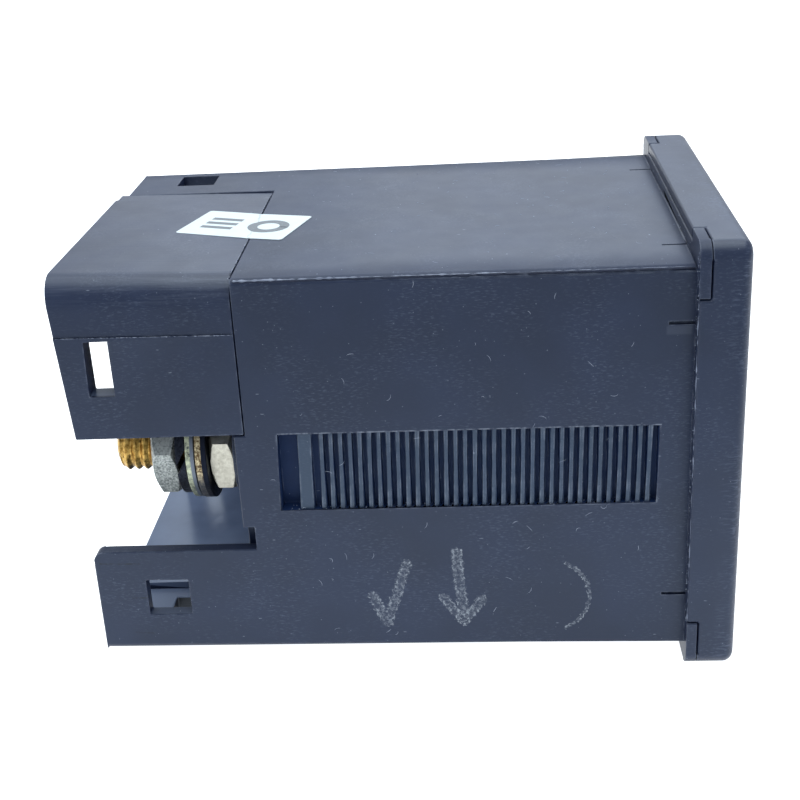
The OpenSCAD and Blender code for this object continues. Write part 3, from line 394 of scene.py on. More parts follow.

# Boxes that hold a tint, as low and high corners in millimetres: a painted highlight on the rib crests,
# painted light on the strip's top and on the tongue's and the cover's window ledges, and painted shade in
# the strip's window
SLIT_GHOST = ((-22.9, 0.2, 14.2), (-22.0, 2.9, 15.3))
TRACK_LIP = ((-22.5, 3.0, 4.42), (-22.2, 43.1, 4.62))
RIB_CRESTS = ((-22.45, 3.4, -4.44), (-21.95, 42.7, 4.44))
STRIP_TOP = ((-20.9, 46.2, -20.1), (-12.0, 66.0, -19.8))
STRIP_WINDOW = ((-18.65, 52.95, -21.4), (-14.0, 57.65, -20.05))
TONGUE_LEDGE = ((-22.3, 53.8, -17.2), (-20.8, 58.7, -16.9))
COVER_LEDGE = ((-22.4, 58.8, 9.2), (-20.1, 61.8, 9.6))


def on_side(points):
    """Points on the near side, from Y and Z in millimetres."""
    return [(-BODY_SIDE, y * MM, z * MM) for y, z in points]


def case_marks(f, base):
    """Chalky pen strokes and scored lines on the near side, the pale ghost beside its upper slit and the
    pale lip of the track; a painted highlight on the track's crests, painted light on the tail's strip and
    window ledge, and painted shade in the strip's window."""
    drawn = f.most(*[f.stroke(on_side(points), half * MM) for points, half in STROKES])
    chalk = f.span(f.noise(0.30 * MM, 5, 0.7, warp=0.4), 0.46, 0.64, 0.06, 0.80)
    base = f.blend(f.times(drawn, chalk), base, CHALK)
    scored = f.most(*[f.span(f.off_line(*on_side(line)), 0.09 * MM, 0.05 * MM) for line in TAIL_LINES])
    base = f.blend(f.times(scored, f.span(f.noise(0.6 * MM), 0.35, 0.6)), base, SOOT_AND_SHADE)
    base = f.blend(f.times(f.within(SLIT_GHOST, 0.2), 0.05), base, DUST)
    lip = f.times(f.within(TRACK_LIP, 0.05), f.span(f.noise(0.7 * MM, 4), 0.40, 0.62, 0.0, 0.35))
    base = f.blend(lip, base, DUST)
    # Painted highlight: the rib crests lighter where the light catches them
    base = f.blend(f.times(f.within(RIB_CRESTS, 0.03), 0.125), base, CREST_HIGHLIGHT_BLUE)
    # Painted light on the tail's strip top and on the tongue's window ledge
    base = f.blend(f.times(f.within(STRIP_TOP, 0.05), 0.62), base, PAINTED_LIGHT_BLUE)
    base = f.blend(f.times(f.within(TONGUE_LEDGE, 0.05), 0.22), base, PAINTED_LIGHT_BLUE)
    # Painted shade: the strip's window made near black
    return f.blend(f.times(f.within(STRIP_WINDOW, 0.05), 0.9), base, SOOT_AND_SHADE)


def bezel_scratches(f, base):
    """Short pale scratches that run back from the bezel's front edge."""
    near_front = f.span(f.axis("Y"), -2.6 * MM, -4.2 * MM)
    ticks = f.span(f.noise(0.30 * MM, 3, 0.6, stretch=(1, 0.22, 1.6)), 0.52, 0.64)
    patches = f.span(f.noise(7 * MM, 2), 0.42, 0.58)
    return f.blend(f.times(near_front, ticks, patches, 0.42), base, FLECK)


def cover_drawing(f, base):
    """Pale lines drawn along the cover's rounded edge, and painted light on the ledge of its window."""
    rounded = f.times(f.span(f.facing("Z"), 0.05, 0.35), f.span(f.facing("Z"), 1.0, 0.85))
    lines = f.span(f.noise(0.5 * MM, 4, 0.65, stretch=(1, 0.02, 1)), 0.45, 0.70)
    base = f.blend(f.times(rounded, lines, 0.10), base, DUST)
    # Painted light on the ledge of the cover's window
    return f.blend(f.times(f.within(COVER_LEDGE, 0.05), 0.40), base, PAINTED_LIGHT_BLUE)


def chamber_haze(f, base):
    """Painted light inside the terminal chamber, which lies in shade: pale blue, thicker and thinner in
    clouds.
    """
    return f.blend(f.span(f.noise(6 * MM, 3), 0.3, 0.7, 0.6, 0.8), base, PAINTED_LIGHT_BLUE)


def groove_depths(f, base):
    """Painted shade: deep blue in the grooves, where little but sky light comes in."""
    return f.blend(f.span(f.noise(2 * MM, 3), 0.3, 0.7, 0.75, 0.95), base, GROOVE_SHADE_BLUE)


# Finishes of the other pieces

def plated(name, light, dark, stain, stain_share, roughness=0.32, grain=0.28, contrast=0.12, collar=None,
           painted_sheen=0.0, metal=1.0, below=None):
    """Plated metal: bright and dull grains of `grain` millimetres, parted more sharply the smaller
    `contrast` is, a painted highlight on what looks up as strong as the sheen share, and stain where the
    plating has gone. A collar is a colour and the Y up to which it covers the metal, on the base washers a
    painted shade on the face turned to the case. Below is the colour of a painted shade and the Z under
    which the metal turns to it."""
    f = Finish(name, Metallic=metal)
    grains = f.noise(grain * MM, 3, 0.65)
    patches = f.span(f.noise(1.3 * MM, 4, 0.6), 0.3, 0.7, -0.06, 0.06)
    share = f.span(f.math("ADD", grains, patches), 0.5 - contrast, 0.5 + contrast)
    # Painted highlight: facets that look up made lighter
    share = f.math("ADD", share, f.span(f.facing("Z"), 0.3, 0.6, 0.0, painted_sheen))
    base = f.blend(share, dark, light)
    worn = f.span(f.noise(0.9 * MM, 6, 0.7), 0.62 - stain_share, 0.72 - stain_share)
    base = f.blend(worn, base, stain)
    # Painted shade: the metal turns grey and darker towards the bottom
    if below is not None:
        colour, level = below
        base = f.blend(f.span(f.axis("Z"), level + 1.0 * MM, level - 1.0 * MM, 0.0, 0.85), base, colour)
    if collar is not None:
        colour, end = collar
        base = f.blend(f.span(f.axis("Y"), end + 0.03 * MM, end - 0.03 * MM), base, colour)
    f.put("Base Color", base)
    f.put("Roughness", f.span(f.noise(0.5 * MM, 4), 0.3, 0.7, roughness, roughness + 0.2))
    f.put("Normal", f.bump(grains, 0.03 * MM))
    return f.material


def plain_moulding(name, colour, shade, roughness=0.5):
    """Inner moulding: two close tones and a fine grain."""
    f = Finish(name, IOR=1.48)
    f.put("Base Color", f.blend(f.span(f.noise(2 * MM, 3), 0.3, 0.7), shade, colour))
    f.put("Roughness", f.span(f.noise(1 * MM, 3), 0.3, 0.7, roughness - 0.06, roughness + 0.06))
    f.put("Normal", f.bump(f.noise(0.15 * MM, 2), 0.005 * MM))
    return f.material


def turned_metal(name, colour, shade, roughness=0.3):
    """Bare metal: drawn tone and fine tool marks."""
    f = Finish(name, Metallic=1.0)
    f.put("Base Color", f.blend(f.span(f.noise(0.8 * MM, 4), 0.3, 0.7), shade, colour))
    f.put("Roughness", f.span(f.noise(0.4 * MM, 3), 0.3, 0.7, roughness, roughness + 0.15))
    f.put("Normal", f.bump(f.noise(0.1 * MM, 2, stretch=(1, 0.2, 1)), 0.004 * MM))
    return f.material


def wound_wire(name):
    """Enamelled copper winding: turns side by side along the coil, each a shallow round."""
    f = Finish(name, Metallic=1.0, Coat_Weight=0.6)
    clouds = f.span(f.noise(1.5 * MM, 3), 0.3, 0.7)
    f.put("Base Color", f.blend(clouds, srgb(128, 62, 28), srgb(176, 92, 44)))
    f.put("Roughness", f.span(f.noise(0.5 * MM, 3), 0.3, 0.7, 0.25, 0.4))
    turns = f.math("SINE", f.math("MULTIPLY", f.axis("Y"), 2 * math.pi / (0.8 * MM)))
    f.put("Normal", f.bump(turns, 0.06 * MM))
    return f.material


def dial_enamel():
    """White enamelled sheet: a warm shade cloud and a faint stipple."""
    f = Finish("dial_enamel", IOR=1.5)
    clouds = f.span(f.noise(9 * MM, 3), 0.3, 0.7)
    f.put("Base Color", f.blend(clouds, srgb(238, 238, 232), srgb(248, 248, 244)))
    f.put("Roughness", f.span(f.noise(2 * MM, 3), 0.3, 0.7, 0.42, 0.52))
    f.put("Normal", f.bump(f.noise(0.2 * MM, 2), 0.002 * MM))
    return f.material


def clear_pane():
    """Clear pane with faint wiping marks."""
    f = Finish("clear_pane", IOR=1.49, Transmission_Weight=1.0)
    f.put("Base Color", (0.97, 0.985, 0.99, 1.0))
    f.put("Roughness", f.span(f.noise(0.4 * MM, 3, stretch=(1, 1, 0.1)), 0.6, 0.8, 0.01, 0.06))
    return f.material


def ink(name, colour):
    """Printed ink: nearly even, a little starved in places."""
    f = Finish(name, IOR=1.45)
    paler = tuple(min(1.0, c * 1.6 + 0.01) for c in colour[:3]) + (1.0,)
    f.put("Base Color", f.blend(f.span(f.noise(0.3 * MM, 4), 0.5, 0.8), colour, paler))
    f.put("Roughness", f.span(f.noise(0.3 * MM, 2), 0.3, 0.7, 0.5, 0.6))
    return f.material


def sticker_film():
    """White film: clouded, freckled with dust, and a painted shade in grey along a wavy line where the seam
    shows through.
    """
    f = Finish("sticker_film", IOR=1.48)
    clouds = f.span(f.noise(1.5 * MM, 4), 0.5, 0.8, 0.0, 0.3)
    base = f.blend(clouds, srgb(196, 209, 212), srgb(176, 188, 191))
    wavy = f.math("ADD", f.axis("Y"), f.span(f.noise(1.2 * MM, 3), 0.3, 0.7, -0.25 * MM, 0.25 * MM))
    off_seam = f.math("ABSOLUTE", f.math("SUBTRACT", wavy, COVER_FRONT))
    # Painted shade along the seam under the film
    base = f.blend(f.span(off_seam, 0.10 * MM, 0.04 * MM, 0.0, 0.45), base, srgb(120, 128, 134))
    f.put("Base Color", f.blend(f.specks(1.1 * MM, 0.05, 0.2), base, srgb(150, 156, 160)))
    f.put("Roughness", f.span(f.noise(1 * MM, 3), 0.3, 0.7, 0.38, 0.5))
    f.put("Normal", f.bump(f.noise(0.6 * MM, 3), 0.006 * MM))
    return f.material


CASE = moulding("case_plastic", case_marks, dull=0.2)
BEZEL = moulding("bezel_plastic", bezel_scratches)
COVER = moulding("cover_plastic", cover_drawing, streaks=0.010)
# Lining of the lower cover's inside: painted light over the chamber's shade
PAINTED_LINING = moulding("cover_lining_painted_light", chamber_haze, rough=(0.15, 0.19), dirt=0.2, Specular_IOR_Level=0.20)
# Groove inlay: painted shade in the tracks' grooves
GROOVE_SHADE = moulding("groove_shade_plastic", groove_depths, rough=(0.5, 0.6), Specular_IOR_Level=0.26)
# Painted shade on the base washers' face turned to the case
FRONT_FACE_SHADE = (srgb(30, 34, 46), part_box("base_washers")[1].y - 0.66 * MM)
GREY_COLLAR = (srgb(104, 112, 124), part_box("lug_washers")[0].y + 0.42 * MM)
# Painted shade on the lower part of the base washers
GREY_SHADE_BELOW = (srgb(74, 80, 92), -1.6 * MM)
FINISHES = {
    "case_plastic": CASE,
    "clear_pane": clear_pane(),
    "stud_brass": plated("stud_brass", srgb(216, 180, 104), srgb(140, 106, 50), srgb(84, 66, 36), 0.08,
                         roughness=0.30, grain=0.5),
    "zinc_steel": plated("zinc_steel", srgb(190, 196, 194), srgb(100, 107, 108), srgb(84, 90, 90), 0.0,
                         roughness=0.34, grain=0.22, contrast=0.15, painted_sheen=0.25, metal=0.65),
    "rusty_steel": plated("rusty_steel", srgb(206, 194, 160), srgb(98, 80, 58), srgb(70, 56, 44), 0.06,
                          roughness=0.4, grain=0.3, contrast=0.10, collar=FRONT_FACE_SHADE, below=GREY_SHADE_BELOW),
    "dark_steel": plated("dark_steel", srgb(44, 48, 58), srgb(24, 27, 36), srgb(46, 42, 42), 0.05,
                         roughness=0.4),
    "dial_enamel": dial_enamel(),
    "frame_plastic": plain_moulding("frame_plastic", srgb(62, 62, 60), srgb(50, 50, 49)),
    "bobbin_plastic": plain_moulding("bobbin_plastic", srgb(222, 214, 192), srgb(206, 196, 172)),
    "coil_copper": wound_wire("coil_copper"),
    "tinned_copper": turned_metal("tinned_copper", srgb(206, 204, 196), srgb(168, 164, 154)),
    "soft_iron": turned_metal("soft_iron", srgb(142, 142, 140), srgb(104, 104, 102), 0.4),
    "cup_plastic": plain_moulding("cup_plastic", srgb(196, 196, 188), srgb(178, 178, 170)),
    "movement_brass": turned_metal("movement_brass", srgb(206, 172, 96), srgb(166, 130, 62)),
    "adjuster_plastic": plain_moulding("adjuster_plastic", srgb(40, 43, 52), srgb(30, 33, 41), 0.4),
    "lever_brass": turned_metal("lever_brass", srgb(206, 176, 104), srgb(168, 136, 70)),
    "spring_bronze": turned_metal("spring_bronze", srgb(178, 118, 70), srgb(140, 86, 48)),
    "spindle_steel": turned_metal("spindle_steel", srgb(198, 200, 204), srgb(156, 158, 164), 0.2),
    "pointer_black": plain_moulding("pointer_black", srgb(22, 22, 23), srgb(15, 15, 16), 0.45),
    "disc_aluminium": turned_metal("disc_aluminium", srgb(212, 214, 216), srgb(180, 182, 186)),
}
CREAM_ZINC = plated("cream_zinc", srgb(212, 210, 198), srgb(186, 183, 170), srgb(128, 118, 100), 0.0,
                    roughness=0.42, grain=0.35, contrast=0.25)
GREEN_ZINC = plated("green_zinc", srgb(192, 198, 172), srgb(112, 120, 112), srgb(62, 68, 72), 0.07,
                    roughness=0.36, grain=0.5, contrast=0.16, collar=GREY_COLLAR)
LOOSE_DUST = plain_moulding("loose_dust", DUST, srgb(112, 122, 142), 0.8)
FLASH = plain_moulding("torn_flash", srgb(140, 150, 170), srgb(84, 94, 116), 0.6)
# Dark beads that stand for shadow: painted shadow lines under the edge flash and in the cover's seam
SHADOW_LINE = plain_moulding("painted_shadow_line", srgb(34, 43, 64), srgb(24, 31, 50), 0.9)


def dress_solids():
    """Each solid that stays as it is gets the finish of its own material slot."""
    for name, solid in nodes.items():
        solid.data.materials.clear()
        solid.data.materials.append(FINISHES[SLOT_OF[name]])


# Pieces with broken edges

ON_EDGE = 0.01 * MM
COVER_WALL = 1.2 * MM
LINING_END = 63.5 * MM
GROOVE_TOP, GROOVE_FLOOR = 0.4 * MM, 2.6 * MM
TRACK_START, TRACK_END = 3.0 * MM, 43.2 * MM
TRACK_HALF = 4.5 * MM


def on_long_edge(middle):
    """True on the four long edges of the body."""
    return abs(abs(middle.x) - BODY_SIDE) < ON_EDGE and abs(abs(middle.z) - BODY_TOP) < ON_EDGE


def in_lower_cover(middle):
    """True on the inner faces of the lower cover: short of its outer wall, its floor and its end."""
    inward = middle.x < BODY_SIDE - COVER_WALL and middle.z > COVER_WALL - BODY_TOP
    return inward and middle.y < LINING_END


def in_track(middle):
    """True below the rib crests of a clamp track."""
    below = GROOVE_TOP < BODY_SIDE - abs(middle.x) < GROOVE_FLOOR
    return below and TRACK_START < middle.y < TRACK_END and abs(middle.z) < TRACK_HALF


def finish_mouldings():
    """Mouldings with their edges broken: wide on the body's long edges, with the grooves of the tracks laid
    in with painted shade and the inside of the lower cover with painted light."""
    eased("housing", 0.16 * MM, CASE, segments=4, soft=(0.7 * MM, on_long_edge),
          inlay=(GROOVE_SHADE, in_track))
    eased("bezel", 0.3 * MM, BEZEL)
    eased("terminal_cover_upper", 0.12 * MM, COVER)
    eased("terminal_cover_lower", 0.12 * MM, COVER, inlay=(PAINTED_LINING, in_lower_cover))
    eased("zero_screw", 0.08 * MM, FINISHES["adjuster_plastic"], body="zero_screw")


def finish_hardware():
    """Nuts and washers of the terminals with their edges broken."""
    eased("base_nuts", 0.10 * MM, CREAM_ZINC, turn=20)
    eased("lug_nuts", 0.10 * MM, FINISHES["zinc_steel"], turn=20)
    eased("base_washers", 0.12 * MM, FINISHES["rusty_steel"])
    eased("lug_washers", 0.10 * MM, GREEN_ZINC)
    eased("spring_washers", 0.10 * MM, FINISHES["dark_steel"])


# Threaded terminal studs

THREAD_PITCH = 1.0 * MM
THREAD_DEPTH = 0.32 * MM
THREAD_CREST = 3.0 * MM
THREAD_RUN_OUT = 0.3 * MM
SHANK_R = 2.675 * MM
HEX_FLAT = 5.0 * MM
HEAD_HEIGHT = 4.0 * MM
HEAD_CHAMFER = 0.5 * MM
HEAD_CHAMFER_R = 5.5 * MM
HEAD_CHAMFER_SLOPE = 1.2
TIP_LENGTH = 0.8 * MM
TIP_DROP = 1.0 * MM
THREAD_STEPS = 14
ROUND_STEPS = 96


def stud(node):
    """Stud with a hexagon head: radius r(turn, y). In the head r is the hexagon's flat distance over the
    cosine of the turn from the nearest flat, limited by a chamfer cone. Where the thread is bare, r falls
    from the crest by a rounded triangle of the phase y / pitch - turn; inside the nuts r is the shank. The
    tip falls by the square of the way along it."""
    low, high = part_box(node)
    head_end = low.y + HEAD_HEIGHT
    axis_x, axis_z = (low.x + high.x) / 2, (low.z + high.z) / 2
    bare = [(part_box("base_nuts")[1].y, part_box("lug_nuts")[0].y), (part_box("lug_nuts")[1].y, high.y)]
    head_y = low.y + np.array([0, 0, HEAD_CHAMFER, HEAD_HEIGHT - HEAD_CHAMFER, HEAD_HEIGHT, HEAD_HEIGHT])
    shank_y = np.arange(head_end, high.y, THREAD_PITCH / THREAD_STEPS)
    y = np.concatenate([head_y, shank_y, [high.y, high.y]])[:, None]
    turn = np.linspace(0, 2 * math.pi, ROUND_STEPS, endpoint=False)[None, :]
    from_flat = (turn + math.pi / 6) % (math.pi / 3) - math.pi / 6
    from_end = np.maximum(np.minimum(y - low.y, head_end - y), 0)
    head = np.minimum(HEX_FLAT / np.cos(from_flat), HEAD_CHAMFER_R + HEAD_CHAMFER_SLOPE * from_end)
    phase = (y / THREAD_PITCH - turn / (2 * math.pi)) % 1.0
    triangle = np.clip(1.25 * np.abs(2 * phase - 1) - 0.12, 0, 1)
    threaded = sum(np.clip((y - a) / THREAD_RUN_OUT, 0, 1) * np.clip((b - y) / THREAD_RUN_OUT + 1, 0, 1)
                   * (y <= b) for a, b in bare)
    crest = THREAD_CREST - THREAD_DEPTH * (1 - triangle)
    tip = np.clip((y - (high.y - TIP_LENGTH)) / TIP_LENGTH, 0, 1)
    shank = SHANK_R + (np.minimum(crest, THREAD_CREST - TIP_DROP * tip ** 2) - SHANK_R) * threaded
    radius = np.where(y <= head_end, head, shank)
    radius[0], radius[-1] = 0.0, 0.0
    radius[len(head_y) - 1] = SHANK_R
    points = np.stack([axis_x + radius * np.cos(turn), np.broadcast_to(y, radius.shape),
                       axis_z + radius * np.sin(turn)], -1)
    faces = grid_faces(len(y), ROUND_STEPS, wrap_columns=True)
    piece = new_piece(f"{node}_threaded", points, faces, FINISHES["stud_brass"], sharp_turn=50)
    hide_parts(node)
    return piece


# Sticker across the seam of the upper cover, and the print on it along and across the sticker

LABEL_AT = (-3.15 * MM, 47.3 * MM)
LABEL_LONG, LABEL_SHORT = 12.7 * MM, 9.2 * MM
LABEL_WAY = np.array([-3.37, -12.06]) / math.hypot(3.37, 12.06)
LABEL_CORNER = 0.4 * MM
LABEL_THICK = 0.08 * MM
CREASE_DEPTH, CREASE_WIDTH = 0.03 * MM, 0.25 * MM
RING_AT = 2.9 * MM
RING_RADII = np.array([1.25, 2.35]) * MM
BAR_ENDS = (-4.6 * MM, -0.9 * MM)
BAR_MIDDLES = (-1.6 * MM, 0.0, 1.6 * MM)
BAR_HALF = 0.42 * MM
ROOF_RISE = 0.7 * MM
LIP_SHARE = 0.45


def top_height(x, y):
    """Height of the top: flat on the body, and on the cover rising to the rear, most at the near edge."""
    u = np.clip((COVER_LIP - x) / (COVER_LIP + BODY_SIDE), 0, 1)
    v = np.clip((y - COVER_FRONT) / (COVER_BACK - COVER_FRONT), 0, 1)
    return BODY_TOP + ROOF_RISE * v * (LIP_SHARE + (1 - LIP_SHARE) * u)


def rounded_sheet(long, short, corner, steps=40):
    """Unit square grid (s, t) stretched to long x short, with its rim drawn in to rounded corners: each
    point beyond a corner's centre is pulled back to the corner's circle."""
    s, t = np.meshgrid(np.linspace(-1, 1, steps), np.linspace(-1, 1, steps), indexing="ij")
    a, b = s * long / 2, t * short / 2
    over_a = np.maximum(np.abs(a) - (long / 2 - corner), 0)
    over_b = np.maximum(np.abs(b) - (short / 2 - corner), 0)
    reach = np.hypot(over_a, over_b)
    shrink = np.where(reach > corner, corner / np.maximum(reach, 1e-12), 1.0)
    a = np.sign(a) * (np.minimum(np.abs(a), long / 2 - corner) + over_a * shrink)
    b = np.sign(b) * (np.minimum(np.abs(b), short / 2 - corner) + over_b * shrink)
    return a, b


def on_top(a, b, lift):
    """Places sheet coordinates (a along the label, b across it) on the top, `lift` above it, with a
    shallow crease over the seam."""
    across = np.array([-LABEL_WAY[1], LABEL_WAY[0]])
    x = LABEL_AT[0] + a * LABEL_WAY[0] + b * across[0]
    y = LABEL_AT[1] + a * LABEL_WAY[1] + b * across[1]
    crease = -CREASE_DEPTH * np.exp(-(((y - COVER_FRONT) / CREASE_WIDTH) ** 2))
    return np.stack([x, y, top_height(x, y) + lift + crease], -1)


def label():
    """White sticker with a grey ring and three grey bars, each a thin sheet laid on the top."""
    def sheet(name, a, b, low, high, material):
        """A sheet on the top, from `low` to `high` above it."""
        closed_sheet(name, on_top(a, b, high), on_top(a, b, low), material)

    a, b = rounded_sheet(LABEL_LONG, LABEL_SHORT, LABEL_CORNER)
    sheet("sticker", a, b, 0.01 * MM, LABEL_THICK, sticker_film())
    grey = ink("sticker_ink", srgb(100, 108, 114))
    print_low, print_high = LABEL_THICK - 0.01 * MM, LABEL_THICK + 0.012 * MM
    radius, turn = np.meshgrid(RING_RADII, np.linspace(0, 2 * math.pi, 65), indexing="ij")
    a, b = radius * np.cos(turn) + RING_AT, radius * np.sin(turn)
    sheet("sticker_ring", a, b, print_low, print_high, grey)
    for number, middle in enumerate(BAR_MIDDLES):
        sides = np.array([middle - BAR_HALF, middle + BAR_HALF])
        a, b = np.meshgrid(np.linspace(*BAR_ENDS, 24), sides, indexing="ij")
        sheet(f"sticker_bar_{number}", a, b, print_low, print_high, grey)


# Dial print: a quarter scale about the pivot, from the left to straight up

FULL_SCALE = 50
SCALE_R = 26.0 * MM
SCALE_LINE = 0.28 * MM
SCALE_STEPS = 97
TICK_ENDS = {1: 27.4 * MM, 5: 28.2 * MM, 10: 28.7 * MM}
TICK_WIDTHS = {1: 0.16 * MM, 5: 0.24 * MM, 10: 0.38 * MM}
TICK_FACES = np.array([[0, 1, 3, 2], [4, 6, 7, 5], [0, 4, 5, 1], [1, 5, 7, 3], [3, 7, 6, 2], [2, 6, 4, 0]])
NUMBER_R = 30.6 * MM
NUMBER_HEIGHT = 3.0 * MM
UNIT_AT = (3.2 * MM, -2.0 * MM)
UNIT_HEIGHT = 5.6 * MM
PRINT_FRONT = DIAL_FRONT - 0.012 * MM
PRINT_BACK = DIAL_FRONT - 0.001 * MM


def scale_angle(amperes):
    """Turn of a reading about the pivot: a half turn at 0, falling evenly to a quarter at full scale."""
    return math.pi - amperes / FULL_SCALE * math.pi / 2


def on_dial(x, z, y):
    """Points at x and z from the pivot, all at one depth y."""
    return np.stack([PIVOT_X + x, np.full_like(x, y), PIVOT_Z + z], -1)


def dial_arc(material):
    """Line of the scale: an annular strip from the first reading to the last."""
    turns = np.linspace(scale_angle(0), scale_angle(FULL_SCALE), SCALE_STEPS)
    radius, turn = np.meshgrid(np.array([SCALE_R - SCALE_LINE, SCALE_R]), turns, indexing="ij")
    x, z = radius * np.cos(turn), radius * np.sin(turn)
    closed_sheet("dial_arc", on_dial(x, z, PRINT_FRONT), on_dial(x, z, PRINT_BACK), material)


def dial_ticks(step, coarser, material):
    """Ticks each `step` readings, but for those of the coarser step: thin plates from the scale's line out
    to their end, each turned to its reading."""
    readings = np.array([n for n in range(0, FULL_SCALE + 1, step) if coarser is None or n % coarser])
    angle = scale_angle(readings)[:, None, None]
    along, across = np.meshgrid(np.array([SCALE_R - SCALE_LINE / 2, TICK_ENDS[step]]),
                                np.array([-0.5, 0.5]) * TICK_WIDTHS[step], indexing="ij")
    x = along * np.cos(angle) - across * np.sin(angle)
    z = along * np.sin(angle) + across * np.cos(angle)
    points = np.concatenate([on_dial(x, z, PRINT_FRONT).reshape(-1, 4, 3),
                             on_dial(x, z, PRINT_BACK).reshape(-1, 4, 3)], 1)
    faces = repeated(TICK_FACES, 8, len(readings))
    new_piece(f"dial_ticks_{step}", points, faces, material)


def printed(name, words, height, middle, material):
    """Letters as a thin solid print: the outline made a mesh, centred at `middle` and set on the dial."""
    data = bpy.data.curves.new(name, "FONT")
    data.body = words
    data.size = height
    data.align_x, data.align_y = "CENTER", "CENTER"
    data.extrude = (PRINT_BACK - PRINT_FRONT) / 2
    letters = bpy.data.objects.new(name + "_outline", data)
    scene.collection.objects.link(letters)
    bpy.context.view_layer.update()
    mesh = bpy.data.meshes.new_from_object(letters.evaluated_get(bpy.context.evaluated_depsgraph_get()))
    bpy.data.objects.remove(letters)
    upright = Matrix.Rotation(math.pi / 2, 4, "X")
    mesh.transform(Matrix.Translation((middle[0], (PRINT_FRONT + PRINT_BACK) / 2, middle[1])) @ upright)
    return place_mesh(name, mesh, material)


def dial_scale():
    """Black print of the dial: the scale's line, its ticks, a number at each tenth reading and the unit."""
    black = ink("dial_ink", srgb(20, 20, 22))
    dial_arc(black)
    for step, coarser in ((1, 5), (5, 10), (10, None)):
        dial_ticks(step, coarser, black)
    for amperes in range(0, FULL_SCALE + 1, 10):
        angle = scale_angle(amperes)
        middle = (PIVOT_X + NUMBER_R * math.cos(angle), PIVOT_Z + NUMBER_R * math.sin(angle))
        printed(f"dial_number_{amperes}", str(amperes), NUMBER_HEIGHT, middle, black)
    printed("dial_unit", "A", UNIT_HEIGHT, UNIT_AT, black)


# Wear that stands proud: torn flash along the edges, dark beads of painted shadow beside it, and lint, dust
# and hairs

RIDGE_STEPS = 420
RIDGE_SIDES = 7


def ridge(name, start, end, thick, thin, gaps, material, sway=0.0):
    """Ragged bead along a straight edge: a ring carried from start to end. Its radius runs from thick to
    thin, times smoothed chance less `gaps`, so that it sinks away in places, and both ends are closed. The
    path swings by up to `sway` to either side, by smoothed chance too."""
    start, end = np.array(start), np.array(end)
    way = (end - start) / np.linalg.norm(end - start)
    first = np.cross(way, (0, 0, 1) if abs(way[2]) < 0.9 else (1, 0, 0))
    first /= np.linalg.norm(first)
    second = np.cross(first, way)
    share = np.linspace(0, 1, RIDGE_STEPS)[:, None, None]
    blur = np.hanning(9) / np.hanning(9).sum()
    chance = np.convolve(rng.normal(size=RIDGE_STEPS + 16), blur, "same")[8:-8]
    lift = np.clip(0.75 + 0.8 * chance - gaps, 0.05, 1.6)[:, None, None]
    radius = (thick + (thin - thick) * share) * lift
    radius[0], radius[-1] = 0.0, 0.0
    turn = np.linspace(0, 2 * math.pi, RIDGE_SIDES, endpoint=False)[None, :, None]
    ring = np.cos(turn) * first + np.sin(turn) * second
    swing = np.zeros((1, 1, 1))
    if sway:
        walk = np.convolve(rng.normal(size=RIDGE_STEPS + 40), np.hanning(21), "same")[20:-20]
        swing = (sway * walk / np.abs(walk).max())[:, None, None]
    points = start + (end - start) * share + swing * first + radius * ring
    faces = grid_faces(RIDGE_STEPS, RIDGE_SIDES, wrap_columns=True)
    return new_piece(name, points, faces, material, sharp_turn=80)


def flash_lines():
    """Torn flash and a painted shadow line under it on the body's upper near edge, the rubbed step of the
    upper cover's side, the rough rim and a painted shadow line along the cover's seam, and the rough rim of
    the bezel's back."""
    edge_x, edge_z = 0.20 * MM - BODY_SIDE, BODY_TOP - 0.20 * MM
    ridge("body_edge_flash", (edge_x, BODY_DEPTH - 0.3 * MM, edge_z), (edge_x, 0.4 * MM, edge_z),
          0.12 * MM, 0.02 * MM, 0.15, FLASH)
    # Painted shadow: a dark bead under the flash along the edge
    edge_x, edge_z = 0.12 * MM - BODY_SIDE, BODY_TOP - 0.34 * MM
    ridge("body_edge_painted_shadow", (edge_x, BODY_DEPTH - 0.3 * MM, edge_z), (edge_x, 0.1 * MM, edge_z),
          0.065 * MM, 0.060 * MM, -0.15, SHADOW_LINE)
    ridge("cover_step_wear", (-22.54 * MM, COVER_FRONT + 0.1 * MM, 15.69 * MM),
          (-22.92 * MM, 64.2 * MM, 15.98 * MM), 0.05 * MM, 0.045 * MM, 0.35, FLASH)
    seam_start, seam_end = -22.0 * MM, COVER_LIP - 0.2 * MM
    seam_y, seam_z = COVER_FRONT + 0.06 * MM, BODY_TOP - 0.01 * MM
    ridge("cover_seam_wear", (seam_start, seam_y, seam_z), (seam_end, seam_y, seam_z),
          0.05 * MM, 0.03 * MM, 0.5, FLASH)
    # Painted shadow: a dark ragged bead in the cover's seam
    seam_y, seam_z = COVER_FRONT - 0.02 * MM, BODY_TOP - 0.05 * MM
    ridge("cover_seam_painted_shadow", (seam_start, seam_y, seam_z), (seam_end, seam_y, seam_z),
          0.10 * MM, 0.07 * MM, 0.1, SHADOW_LINE, sway=0.18 * MM)
    rim_x, rim_y = -23.88 * MM, BEZEL_HIGH.y - 0.02 * MM
    ridge("bezel_back_wear", (rim_x, rim_y, 22.0 * MM), (rim_x, rim_y, -19.5 * MM),
          0.06 * MM, 0.06 * MM, 0.35, FLASH, sway=0.03 * MM)


CRUMB_RINGS = 5
CRUMB_SIDES = 6


